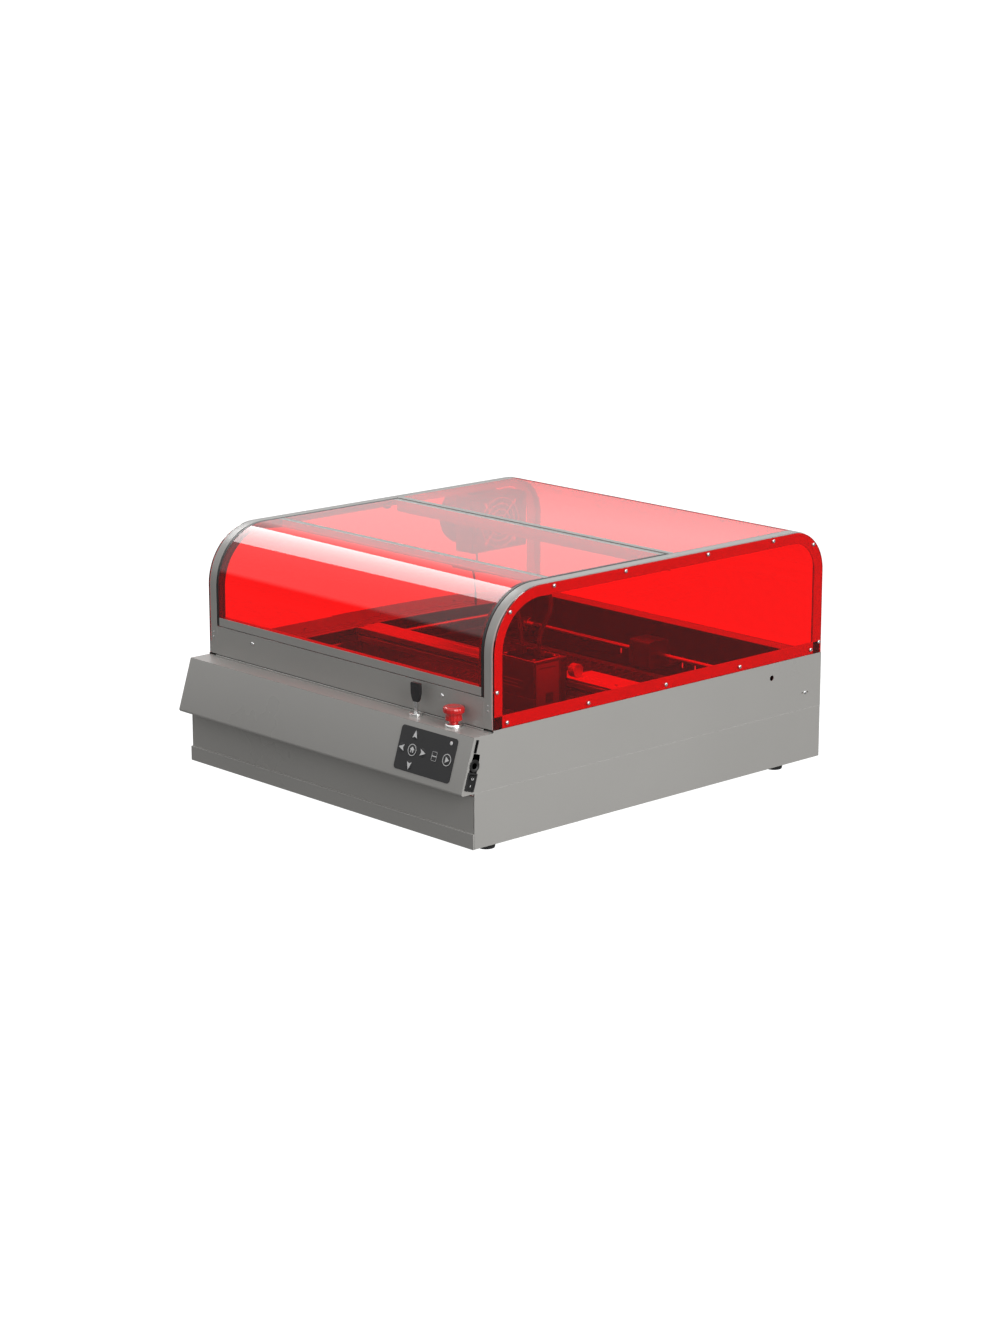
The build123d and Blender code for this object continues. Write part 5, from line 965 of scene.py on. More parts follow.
def arrow_icon(turn_quarters):
    """Tall arrowhead with a hollow base, as an outline; turned by quarter turns."""
    outline = np.array([(0, 6.3), (-4.5, -4.4), (0, -2.3), (4.5, -4.4)])
    angle = turn_quarters * math.pi / 2
    spin = np.array([[math.cos(angle), math.sin(angle)], [-math.sin(angle), math.cos(angle)]])
    return [prism(outline @ spin, PRINT, material=1)]


def home_icon():
    """Ring round a small house."""
    half = [(0, 4.6), (-4.4, 0.6), (-2.9, 0.6), (-2.9, -3.4), (-1.0, -3.4), (-1.0, -0.6)]
    house = np.array(half + [(-x, y) for x, y in half[:0:-1]])
    return [ring(8.0, 7.1, PRINT, material=1), prism(house, PRINT, material=1)]


def start_icon():
    """Ring round a triangle that points right."""
    triangle = np.array([(4.6, 0), (-2.6, 4.1), (-2.6, -4.1)])
    return [ring(8.0, 7.1, PRINT, material=1), prism(triangle, PRINT, material=1)]


def frame_icon():
    """Thin outlined rectangle with a bar across its middle."""
    outer, inner = rounded(9.4, 12.4, 1.2), rounded(8.6, 11.6, 0.9)
    loops = [np.column_stack([loop, np.full(len(loop), level)])
             for loop, level in ((inner, 0.0), (outer, 0.0), (outer, 0.12), (inner, 0.12))]
    outline = grid_shell(np.stack(loops), wrap_rows=True, material=1)
    return [outline, prism(rectangle((-4.3, 4.3), (-0.65, 0.65)), PRINT, material=1)]


def cap_profile(radius, depth=4.0):
    """Round button cap with a softened rim, from its underside to its top."""
    top = PAD_THICK + KEY_PROUD
    return [(0, -depth), (radius, -depth), (radius, top - 0.3), (radius - 0.1, top - 0.1),
            (radius - 0.35, top), (0, top)]


def button_shells(name):
    """Cap and printed sign of one keypad button, with its place on the face."""
    places = {
        "home_button": (HOME_X, KEY_ROW, ROUND_KEY, home_icon()),
        "up_button": (HOME_X, KEY_ROW - ARROW_SPREAD, ARROW_KEY, arrow_icon(0)),
        "down_button": (HOME_X, KEY_ROW + ARROW_SPREAD, ARROW_KEY, arrow_icon(2)),
        "left_button": (HOME_X - ARROW_SPREAD, KEY_ROW, ARROW_KEY, arrow_icon(1)),
        "right_button": (HOME_X + ARROW_SPREAD, KEY_ROW, ARROW_KEY, arrow_icon(3)),
        "frame_button": (PAD_LEFT + 72.5, KEY_ROW, None, frame_icon()),
        "start_button": (PAD_LEFT + 97.0, KEY_ROW, ROUND_KEY, start_icon()),
    }
    x, down, radius, icon = places[name]
    top = PAD_THICK + KEY_PROUD
    if radius:
        cap = turned(cap_profile(radius), steps=48)
    else:
        wide, tight = rounded(11.0, 14.0, 1.5), rounded(10.5, 13.5, 1.3)
        loops = [np.column_stack([loop, np.full(len(loop), level)])
                 for loop, level in ((wide, -4.0), (wide, top - 0.25), (tight, top))]
        cap = grid_shell(np.stack(loops))
    return [on_face(cap, x, down)] + [on_face(s.moved((0, 0, top - 0.04)), x, down) for s in icon]


def plate_shells():
    """Keypad plate, thin and rounded, with its round lamp; the button caps stand in front of it."""
    corner, rim = 5.0, 0.3
    wide = rounded(PAD_WIDTH, PAD_HEIGHT, corner, 9)
    tight = rounded(PAD_WIDTH - 2 * rim, PAD_HEIGHT - 2 * rim, corner - rim, 9)
    loops = [np.column_stack([loop, np.full(len(loop), level)])
             for loop, level in ((wide, 0.02), (wide, PAD_THICK - 0.25), (tight, PAD_THICK))]
    middle = (PAD_LEFT + PAD_WIDTH / 2, PAD_TOP + PAD_HEIGHT / 2)
    panel = on_face(grid_shell(np.stack(loops)), *middle)
    lamp = turned([(0, 0), (2.6, 0), (2.6, 0.25), (2.3, 0.45), (0, 0.6)], steps=32, material=1)
    return [panel, on_face(lamp.moved((0, 0, PAD_THICK)), PAD_LEFT + 98.5, PAD_TOP + 7.3)]


class CUTTER_OT_keypad(bpy.types.Operator):
    """Add the keypad panel with its lamp, and its seven buttons"""
    bl_idname = "cutter.keypad"
    bl_label = "Keypad"

    def execute(self, context):
        film = [finish("keypad_film"), finish("print_white")]
        put_in_scene("keypad_plate", plate_shells(), film, "chassis", ["keypad_panel"])
        for name in ("home_button", "up_button", "down_button", "left_button", "right_button",
                     "frame_button", "start_button"):
            put_in_scene(name.replace("button", "key_cap"), button_shells(name), film, body_of(name),
                         [name])
        return {"FINISHED"}


class CUTTER_OT_key_switch(bpy.types.Operator):
    """Add the key switch and its key"""
    bl_idname = "cutter.key_switch"
    bl_label = "Key switch"

    def execute(self, context):
        x, y, _ = middle_of("key_switch_barrel")
        top = DECK_Z + 4.0
        barrel = hollow([(5.06, top - 4.0), (5.06, top - 0.5), (5.5, top), (8.6, top), (9.3, top - 0.4),
                         (9.5, top - 1.1), (9.5, DECK_Z + 0.4), (9.1, DECK_Z), (8.0, DECK_Z),
                         (8.0, DECK_Z - 27.9), (0, DECK_Z - 28.0), (0, DECK_Z - 26.0),
                         (5.06, DECK_Z - 26.0), (5.06, top - 4.0)], (x, y, 0), steps=48)
        put_in_scene("key_barrel", [barrel], [finish("collar_silver")], "chassis",
                     ["key_switch_barrel"])
        plug = turned([(0, DECK_Z - 24.0), (5.0, DECK_Z - 24.0), (5.0, top - 0.3), (4.7, top), (0, top)],
                      (x, y, 0), steps=32)
        blade = block((x - 3.0, x + 3.0), (y - 1.1, y + 1.1), (top - 0.5, top + 16.0))
        groove = block((x - 1.2, x + 1.2), (y - 1.25, y + 1.25), (top + 0.2, top + 14.8))
        shield = [(-4.2, 0.0), (4.2, 0.0), (7.0, 4.5), (8.9, 12.0), (9.0, 23.5), (8.6, 25.2), (7.2, 26.0),
                  (-7.2, 26.0), (-8.6, 25.2), (-9.0, 23.5), (-8.9, 12.0), (-7.0, 4.5)]
        base = (x, y, top + 15.0)
        head = prism(shield, (-2.25, 2.25), base, u=X_DIR, v=Z_DIR, material=1)
        badge = np.array(shield) * 0.62 + (0, 5.4)
        panel = prism(badge, (-2.45, 2.45), base, u=X_DIR, v=Z_DIR, material=1)
        put_in_scene("key_with_head", [plug, blade, groove, head, panel],
                     [finish("screw_steel"), finish("black_trim")], "key", ["key"],
                     edge=0.35)
        return {"FINISHED"}


class CUTTER_OT_emergency_stop(bpy.types.Operator):
    """Add the emergency stop: fluted red head on a silver collar"""
    bl_idname = "cutter.emergency_stop"
    bl_label = "Emergency stop"

    def execute(self, context):
        x, y, _ = middle_of("estop_collar")
        collar = hollow([(6.06, 3.0), (6.06, 4.6), (6.5, 5.0), (10.6, 5.0), (11.4, 4.6), (11.8, 3.6),
                         (12.0, 3.3), (12.0, 1.0), (11.7, 0.6), (11.7, 0.0), (9.0, 0.0), (9.0, -19.9),
                         (0, -20.0), (0, -18.0), (6.06, -18.0), (6.06, 3.0)], (x, y, DECK_Z), steps=64)
        put_in_scene("stop_collar", [collar], [finish("collar_silver")], "chassis",
                     ["estop_collar"])
        foot, top = 9.5, 28.5
        shoulder = top - 8.5
        profile = [(0, -13.5), (6.0, -13.5), (6.0, foot), (10.9, foot), (11.4, foot + 0.4),
                   (11.3, foot + 1.6), (10.7, (foot + shoulder) / 2), (11.4, shoulder - 2.2),
                   (12.6, shoulder - 0.9), (14.1, shoulder), (14.6, shoulder + 0.9), (14.7, shoulder + 2.2),
                   (14.5, top - 2.4), (13.7, top - 1.0), (12.2, top - 0.25), (9.0, top - 0.05),
                   (8.2, top - 0.3), (0, top - 0.45)]
        count = context.scene.cutter_edges.flutes

        def flutes(turn, row):
            depth = np.where((row >= 3) & (row <= 13), 0.045, 0.0) * np.where(row >= 9, 0.5, 1.0)
            return 1 - depth * (0.5 + 0.5 * np.cos(count * turn))
        head = turned(profile, (x, y, DECK_Z), steps=count * 8, ripple=flutes)
        put_in_scene("stop_head", [head], [finish("stop_red")], "estop", ["estop_button"])
        return {"FINISHED"}


CARD_DOWN = 10.8
DATA_DOWN = 23.0
JACK_DOWN = 36.0
ROCKER_DOWN = 57.5
SOCKET_DEPTH = 16.0


def on_wall(shell, down, setback=11.0):
    """Move a shell to the right end wall: its x out of the wall, its z up the console's slope."""
    into = np.array([0, math.cos(FACE_ANGLE), -math.sin(FACE_ANGLE)])
    origin = np.array([HALF_WIDTH, 0, DECK_Z]) - down * SLOPE_UP + setback * into
    return shell.placed(origin, X_DIR, into, SLOPE_UP)


def lined_hole(width, height, radius, rim, depth, proud, material=0):
    """Rounded rectangular socket: rim outside, wall inwards and a floor, as one closed surface."""
    wide = rounded(width, height, radius)
    hole = rounded(width - 2 * rim, height - 2 * rim, radius * 0.6)
    levels = ((wide, -depth), (wide, proud - 0.2), (wide * 0.985, proud), (hole, proud),
              (hole, -depth + 2.0))
    loops = [np.column_stack([np.full(len(loop), level), loop]) for loop, level in levels]
    return grid_shell(np.stack(loops), material=material)


class CUTTER_OT_ports(bpy.types.Operator):
    """Add the card slot, the data socket, the power jack and the rocker switch"""
    bl_idname = "cutter.ports"
    bl_label = "Ports and rocker"

    def execute(self, context):
        black = finish("port_black")
        metal = finish("screw_steel")
        card = on_wall(lined_hole(5.4, 17.8, 0.8, 1.1, SOCKET_DEPTH, 0.0), CARD_DOWN, 7.0)
        data = on_wall(lined_hole(11.4, 5.8, 0.8, 1.1, SOCKET_DEPTH, 0.0), DATA_DOWN)
        tongue = on_wall(block((-14.0, -2.0), (-3.4, 3.4), (-0.5, 0.7), material=1), DATA_DOWN)
        jack = on_wall(turned([(0, -22), (7.3, -22), (7.3, 0), (8.5, 0), (8.5, 0.8), (8.2, 1.2), (5.6, 1.2),
                               (5.0, 0.8), (4.2, 0.6), (4.2, -11), (0, -11)], axis=X_DIR, steps=48),
                       JACK_DOWN)
        pin = on_wall(turned([(0, -11), (1.2, -11), (1.2, -1.2), (0.8, -0.6), (0, -0.5)], axis=X_DIR,
                             steps=20, material=1), JACK_DOWN)
        put_in_scene("port_set", [card, data, tongue, jack, pin], [black, metal], "chassis",
                     ["side_ports"])
        frame_shell = on_wall(lined_hole(16.4, 24.6, 1.4, 2.2, SOCKET_DEPTH, 1.5), ROCKER_DOWN)
        put_in_scene("rocker_surround", [frame_shell], [finish("black_trim")], "chassis",
                     ["rocker_frame"])
        tip = math.radians(7.0)
        across = (-5.7, 5.7)
        face = [(2.2, 9.5), (1.6, 5.0), (1.25, 1.5), (1.2, 0.0), (1.25, -1.5), (1.6, -5.0), (2.2, -9.5),
                (-4.8, -6.5), (-4.8, 6.5)]
        paddle = prism(face, across, u=X_DIR, v=Z_DIR)
        mark_on = block((1.5, 1.78), (-0.5, 0.5), (-7.4, -3.2), material=1)
        mark_off = ring(2.1, 1.4, (1.45, 1.8), origin=(0, 0, 5.4), u=Y_DIR, v=Z_DIR, material=1)
        axle = turned([(0, -5.9), (1.0, -5.9), (1.0, 5.9), (0, 5.9)], axis=Y_DIR, steps=16)
        u, w = np.array([math.cos(tip), 0, -math.sin(tip)]), np.array([math.sin(tip), 0, math.cos(tip)])
        shells = [on_wall(shell.placed((0, 0, 0), u, Y_DIR, w), ROCKER_DOWN)
                  for shell in (paddle, axle, mark_on, mark_off)]
        put_in_scene("rocker_key", shells, [black, finish("print_white")], "rocker",
                     ["rocker_paddle"])
        return {"FINISHED"}


class CUTTER_OT_electronics(bpy.types.Operator):
    """Add the control board in the console and the lid's safety switch"""
    bl_idname = "cutter.electronics"
    bl_label = "Electronics"

    def execute(self, context):
        low, high = span("control_board")
        base, top = low[2] + 8.0, low[2] + 9.6
        x, y = (low[0] + 0.05, high[0] - 0.05), (low[1] + 0.05, high[1] - 0.05)
        shells = [block(x, y, (base, top))]
        for px in (x[0] + 6.0, x[1] - 6.0):
            for py in (y[0] + 6.0, y[1] - 6.0):
                shells.append(turned([(0, low[2]), (3.0, low[2]), (3.0, base), (0, base)], (px, py, 0),
                                     steps=6, material=2))
                shells.append(turned([(0, top), (2.6, top), (2.6, top + 1.0), (2.0, top + 1.5),
                                      (0, top + 1.5)], (px, py, 0), steps=24, material=2))
        middle_y = sum(y) / 2
        step = (high[0] - low[0]) / 4
        for i, (wide, deep, tall) in enumerate(((30, 16, 9), (14, 14, 3), (22, 12, 12)), start=1):
            cx = low[0] + step * i
            shells.append(block((cx - wide / 2, cx + wide / 2), (middle_y - deep / 2, middle_y + deep / 2),
                                (top, top + tall), material=1))
            for side in (-1, 1):
                for lead in np.linspace(-wide / 2 + 2, wide / 2 - 2, int(wide / 3)):
                    edge_y = middle_y + side * (deep / 2 + 0.8)
                    shells.append(block((cx + lead - 0.35, cx + lead + 0.35), sorted((edge_y - side, edge_y)),
                                        (top, top + 0.6), material=2))
        can = [(0, top), (3.2, top), (3.2, top + 1), (3.0, top + 1.3), (3.2, top + 1.6), (3.2, top + 7.4),
               (2.8, top + 8), (0, top + 7.9)]
        for cx in (x[0] + 22.0, x[1] - 24.0, x[0] + 72.0):
            shells.append(turned(can, (cx, y[0] + 5.5, 0), steps=24, material=2))
        put_in_scene("circuit_board", shells, [finish("board_green"), finish("black_trim"),
                     finish("screw_steel")], "chassis", ["control_board"], edge=0.2)
        low, high = span("lid_interlock")
        body_top = high[2] - 3.0
        tip_x, tip_y, _ = middle_of("lid_interlock")
        switch = [block((low[0], high[0]), (low[1], high[1]), (low[2], body_top)),
                  turned([(0, body_top), (1.8, body_top), (1.8, high[2] - 0.6), (1.3, high[2]), (0, high[2])],
                         (tip_x, tip_y, 0), steps=24, material=1)]
        for side in (-5.0, 5.0):
            switch.append(turned([(0, 0), (1.7, 0), (1.7, 0.15), (1.3, 0.15), (1.1, -0.2), (0, -0.2)],
                                 (tip_x + side, high[1], low[2] + 4.0), Y_DIR, steps=20, material=1))
        put_in_scene("safety_switch", switch, [finish("black_trim"), finish("screw_steel")], "chassis",
                     ["lid_interlock"], edge=0.4)
        return {"FINISHED"}


# ---- exhaust fan -----------------------------------------------------------------------------------
SPIGOT_BORE = 41.5
SPIGOT_R = 44.0
SPIGOT_LENGTH = 50.0
FAN_HUB_R = 15.0
FAN_TIP_R = 37.4
FAN_BLADES = 7
GUARD_RINGS = (11.0, 20.0, 29.0, 38.0)
GUARD_WIRE_R = 0.95


def fan_blade(hub, tip, x, count, index):
    """One blade: a thin curved sheet whose pitch eases and whose chord grows from root to tip."""
    reach = np.linspace(hub - 1.0, tip, 9)[:, None]
    share = np.linspace(-0.5, 0.5, 9)[None, :]
    pitch = np.radians(48 - 18 * (reach - hub) / (tip - hub))
    chord = 17.0 + 8.0 * (reach - hub) / (tip - hub)
    camber = 2.2 * (0.25 - share ** 2) * 4
    along, aside = share * chord * np.cos(pitch), share * chord * np.sin(pitch)
    middle = sum(x) / 2
    turn = index * 2 * math.pi / count + aside / reach + 0 * along
    sides = []
    for face in (-0.7, 0.7):
        height = np.clip(middle + along + (camber + face) * np.sin(pitch), x[0] + 0.2, x[1] - 0.2)
        twist = turn + face / reach
        sides.append(np.stack([height, reach * np.cos(twist), reach * np.sin(twist)], -1))
    front, back = sides
    loop = np.concatenate([front, back[:, ::-1]], 1)
    return grid_shell(loop)


class CUTTER_OT_exhaust_fan(bpy.types.Operator):
    """Add the exhaust fan, its guard, its lead and the hose spigot outside"""
    bl_idname = "cutter.exhaust_fan"
    bl_label = "Exhaust fan"

    def execute(self, context):
        edge = context.scene.cutter_edges.edge
        black = finish("black_trim")
        refined("exhaust_fan_housing", "fan_frame", black, edge, longest=8.0)
        low, high = span("exhaust_fan_rotor")
        centre = middle_of("exhaust_fan_rotor") * (0, 1, 1)
        x = (low[0], high[0])
        hub = hollow([(2.1, x[0]), (FAN_HUB_R - 0.6, x[0]), (FAN_HUB_R, x[0] + 0.6), (FAN_HUB_R, x[1] - 1.6),
                      (FAN_HUB_R - 0.8, x[1] - 0.4), (12.5, x[1]), (0, x[1]), (0, x[1] - 6.0),
                      (2.1, x[1] - 6.0), (2.1, x[0])], centre, X_DIR, steps=48)
        blades = [fan_blade(FAN_HUB_R, FAN_TIP_R, x, FAN_BLADES, i).moved(centre) for i in range(FAN_BLADES)]
        put_in_scene("fan_rotor_blades", [hub] + blades, [black], "fan_rotor",
                     ["exhaust_fan_rotor"])
        wire_x = middle_of("exhaust_fan_guard")[0]
        turn = np.arange(64) * 2 * math.pi / 64
        wires = []
        for radius in GUARD_RINGS:
            path = np.stack([0 * turn + wire_x, radius * np.cos(turn), radius * np.sin(turn)], -1) + centre
            wires.append(tube(path, GUARD_WIRE_R, 10, closed=True))
        for angle in (math.pi / 4, -math.pi / 4):
            ray = np.array([0, math.cos(angle), math.sin(angle)])
            reach = np.linspace(-44.0, 44.0, 3)[:, None]
            wires.append(tube(centre + (wire_x, 0, 0) + reach * ray, GUARD_WIRE_R, 10))
            for end in (-42.5, 42.5):
                wires.append(turned([(0, -1), (2.9, -1), (2.9, 0.6), (2.3, 1.0), (0, 1.0)],
                                    centre + (wire_x, 0, 0) + end * ray, X_DIR, steps=20))
        put_in_scene("fan_wire_guard", wires, [finish("screw_steel")], "chassis",
                     ["exhaust_fan_guard"])
        outer = -HALF_WIDTH
        end = outer - SPIGOT_LENGTH
        profile = [(SPIGOT_BORE, outer), (SPIGOT_BORE, end + 0.4), (SPIGOT_BORE + 0.5, end),
                   (SPIGOT_R - 0.4, end + 0.2), (SPIGOT_R, end + 0.8)]
        for rib in np.arange(44.0, 12.0, -8.0):
            profile += [(SPIGOT_R, outer - rib - 1.4), (SPIGOT_R - 0.8, outer - rib - 0.9),
                        (SPIGOT_R - 0.8, outer - rib + 0.9), (SPIGOT_R, outer - rib + 1.4)]
        profile += [(SPIGOT_R, outer - 4.2), (SPIGOT_R + 0.6, outer - 3.2), (51.4, outer - 3.0),
                    (52.0, outer - 2.5), (52.0, outer), (SPIGOT_BORE, outer)]
        collar = hollow(profile, centre, X_DIR, steps=96)
        screws = [turned([(0, 0), (2.8, 0), (2.6, 0.7), (1.9, 1.1), (1.0, 1.1), (0.9, 0.4), (0, 0.4)],
                         centre + (outer - 3.0, 48 * math.cos(a), 48 * math.sin(a)), -X_DIR, steps=20,
                         material=1) for a in np.radians((45, 135, 225, 315))]
        put_in_scene("hose_spigot", [collar] + screws, [black, finish("screw_steel")], "chassis",
                     ["duct_collar"])
        low, high = span("fan_cable")
        lead_x, lead_y, _ = middle_of("fan_cable")
        heights = np.linspace(low[2], high[2], 25)
        lead = tube(np.stack([0 * heights + lead_x, 0 * heights + lead_y, heights], -1), 1.7, 16)
        boot = turned([(0, low[2]), (1.74, low[2]), (1.74, low[2] + 3), (0, low[2] + 3)],
                      (lead_x, lead_y, 0), steps=20)
        put_in_scene("fan_lead", [lead, boot], [finish("cable_black")], "chassis",
                     ["fan_cable"])
        return {"FINISHED"}


# ---- bed and gantry --------------------------------------------------------------------------------
BED_RIM = 14.0
BED_SLATS = 30
SLAT_TEETH = 73              # points along a slat's toothed crest
BELT_WIDTH = 6.0
PULLEY_WIDTH = 10.0
IDLER_BORE = 2.56
LONG_WHEEL = 8.0             # radius of the long belts' pulleys
LONG_FLANGE = 10.5
HEAD_WHEEL = 9.7             # radius of the head belt's pulleys
MOTOR_SIZE = 42.0
MOTOR_LENGTH = 42.0
MOTOR_SCREW = 15.5


def belt_shell(length, radius, width, to_machine):
    """Toothed belt loop: a racetrack path, flat outside and with square-cut teeth inside.

    The path is two straight runs and two half circles; the inner edge steps in and out once a pitch.
    """
    pitch = bpy.context.scene.cutter_edges.tooth_pitch
    around = 2 * length + 2 * math.pi * radius
    teeth = int(around / pitch)
    phase = np.linspace(0, 1, teeth * 4 + 1)[:-1]
    travel = phase * around
    half = math.pi * radius
    on_top, on_right = travel < length, (travel >= length) & (travel < length + half)
    on_low = (travel >= length + half) & (travel < 2 * length + half)
    angle = np.select([on_top, on_right, on_low],
                      [math.pi / 2 + 0 * travel, math.pi / 2 - (travel - length) / radius,
                       -math.pi / 2 + 0 * travel],
                      -math.pi / 2 - (travel - 2 * length - half) / radius)
    middle = np.select([on_top, on_right, on_low],
                       [travel - length / 2, length / 2 + 0 * travel, length * 1.5 + half - travel],
                       -length / 2)
    depth = np.where(np.arange(len(phase)) % 4 < 2, 0.0, 0.7)
    rows = []
    for reach, level in ((radius + 0.1 + depth, -width / 2), (radius + 1.5, -width / 2),
                         (radius + 1.5, width / 2), (radius + 0.1 + depth, width / 2)):
        rows.append(np.stack([middle + reach * np.cos(angle), reach * np.sin(angle),
                              np.full(len(phase), level)], -1))
    loop = grid_shell(np.stack(rows, 1), wrap_rows=True)
    return Shell(to_machine(loop.points), loop.faces)


def toothed_wheel(radius, bore, flange=None, origin=(0, 0, 0), axis=X_DIR, width=PULLEY_WIDTH, teeth=22):
    """Belt pulley: teeth between two flanges, or teeth alone, bored through.

    The rows that carry the teeth have plain rows of the same radius beside them, as the teeth's ends.
    """
    flange_width = 1.5
    half = width / 2
    tip, root = radius, radius - 0.7
    if flange:
        edge = half - flange_width
        profile = [(bore, -half), (flange - 0.5, -half), (flange, -half + 0.4), (flange, -edge - 0.1),
                   (tip, -edge), (tip, -edge), (tip, edge), (tip, edge), (flange, edge + 0.1),
                   (flange, half - 0.4), (flange - 0.5, half), (bore, half), (bore, -half)]
        rows = (5, 6)
    else:
        profile = [(bore, -half), (tip, -half), (tip, -half + 1.2), (tip, half - 1.2), (tip, half),
                   (bore, half), (bore, -half)]
        rows = (2, 3)

    def notches(turn, row):
        cut = (np.cos(teeth * turn) > 0) & np.isin(row, rows)
        return np.where(cut, root / tip, 1.0)
    return hollow(profile, origin, axis, steps=teeth * 8, ripple=notches)


def motor_shells(length, origin, axis, u):
    """Square stepper motor: two cast end caps and a slightly smaller stack of laminations between them."""
    v = np.cross(axis, u)
    cap, step = length * 0.22, 0.8
    cast, stack = rounded(MOTOR_SIZE, MOTOR_SIZE, 4.0), rounded(MOTOR_SIZE - step, MOTOR_SIZE - step, 4.0)
    return [prism(cast, (0, cap), origin, u=u, v=v),
            prism(stack, (cap, length - cap), origin, u=u, v=v, material=1),
            prism(cast, (length - cap, length), origin, u=u, v=v)]


class CUTTER_OT_bed(bpy.types.Operator):
    """Add the slatted work bed"""
    bl_idname = "cutter.bed"
    bl_label = "Work bed"

    def execute(self, context):
        low, high = span("work_bed")
        x, y, z = (low[0], high[0]), (low[1], high[1]), (low[2], high[2])
        inner_x, inner_y = (x[0] + BED_RIM, x[1] - BED_RIM), (y[0] + BED_RIM, y[1] - BED_RIM)
        outer_loop, inner_loop = rectangle(x, y), rectangle(inner_x, inner_y)
        loops = [(outer_loop, z[0]), (outer_loop, z[1]), (inner_loop, z[1]), (inner_loop, z[0])]
        rows = np.stack([np.column_stack([loop, np.full(4, level)]) for loop, level in loops])
        shells = [grid_shell(rows, wrap_rows=True)]
        pitch = (inner_x[1] - inner_x[0]) / (BED_SLATS + 1)
        teeth = np.linspace(inner_y[0], inner_y[1], SLAT_TEETH)
        crest = np.column_stack([teeth, np.where(np.arange(SLAT_TEETH) % 2, z[1] - 2.2, z[1])])
        comb = np.concatenate([crest[::-1], [(inner_y[0], z[0]), (inner_y[1], z[0])]])
        shells += [along_x(comb, (inner_x[0] + pitch * i - 0.75, inner_x[0] + pitch * i + 0.75))
                   for i in range(1, BED_SLATS + 1)]
        put_in_scene("slatted_bed", shells, [finish("bed_steel")], "chassis", ["work_bed"])
        return {"FINISHED"}


class CUTTER_OT_drive(bpy.types.Operator):
    """Add the rods, brackets, belts, pulleys and motors that move the gantry"""
    bl_idname = "cutter.drive"
    bl_label = "Gantry drive"

    def execute(self, context):
        edge = context.scene.cutter_edges.edge
        steel, alloy = finish("screw_steel"), finish("pulley_alloy")
        low, high = span("guide_rods")
        radius = (high[2] - low[2]) / 2
        rod_x, rod_z = high[0] - radius, low[2] + radius
        rod = turned([(0, low[1]), (radius - 0.6, low[1]), (radius, low[1] + 0.6), (radius, high[1] - 0.6),
                      (radius - 0.6, high[1]), (0, high[1])], (rod_x, 0, rod_z), Y_DIR, steps=32)
        put_in_scene("guide_rod_pair", both([rod]), [steel], "chassis", ["guide_rods"])
        refined("rod_brackets", "rod_bracket_set", finish("bracket_black"), edge)
        refined("gantry_trucks", "truck_pair", finish("bracket_black"), edge)

        low, high = span("y_belts")
        belt_x = high[0] - BELT_WIDTH / 2
        reach = (high[2] - low[2]) / 2
        centre = np.array([belt_x, (low[1] + high[1]) / 2, (low[2] + high[2]) / 2])
        length = high[1] - low[1] - 2 * reach

        def upright(points):
            return np.column_stack([points[:, 2], points[:, 0], points[:, 1]]) + centre
        put_in_scene("long_belts", both([belt_shell(length, LONG_WHEEL + 0.2, BELT_WIDTH, upright)]),
                     [finish("belt_rubber")], "chassis", ["y_belts"])
        front_y, rear_y = centre[1] - length / 2, centre[1] + length / 2
        idler = toothed_wheel(LONG_WHEEL, IDLER_BORE, LONG_FLANGE, origin=(belt_x, front_y, centre[2]))
        put_in_scene("long_belt_idlers", both([idler]), [alloy], "y_idlers",
                     ["y_idler_pulleys"])
        low, high = span("y_drive_shaft")
        ends = (low[0], high[0])
        shaft = turned([(0, ends[0]), (3.5, ends[0]), (4.0, ends[0] + 0.5), (4.0, ends[1] - 0.5),
                        (3.5, ends[1]), (0, ends[1])], (0, rear_y, centre[2]), X_DIR, steps=32)
        driver = toothed_wheel(LONG_WHEEL, 3.9, LONG_FLANGE, origin=(belt_x, rear_y, centre[2]))
        put_in_scene("cross_shaft", [shaft] + both([driver]), [steel], "y_shaft",
                     ["y_drive_shaft"])

        half = MOTOR_LENGTH / 2
        shells = motor_shells(MOTOR_LENGTH, (-half, rear_y, centre[2]), X_DIR, Y_DIR)
        low, high = span("y_motor")
        shells.append(block((-half, half), (rear_y, high[1]), (low[2], low[2] + SHEET)))
        put_in_scene("cross_motor", shells, [finish("motor_black"), finish("lamination")], "chassis",
                     ["y_motor"], edge=0.5)
        low, high = span("x_motor")
        x, y, _ = middle_of("x_motor")
        shells = motor_shells(high[2] - low[2], (x, y, low[2]), Z_DIR, X_DIR)
        for screw_x in (x - MOTOR_SCREW, x + MOTOR_SCREW):
            for screw_y in (y - MOTOR_SCREW, y + MOTOR_SCREW):
                shells.append(turned([(0, -0.4), (2.6, -0.4), (2.6, 0.1), (0, 0.1)],
                                     (screw_x, screw_y, low[2]), Z_DIR, steps=16, material=2))
        put_in_scene("head_motor", shells, [finish("motor_black"), finish("lamination"), steel], "gantry",
                     ["x_motor"], edge=0.5)
        return {"FINISHED"}


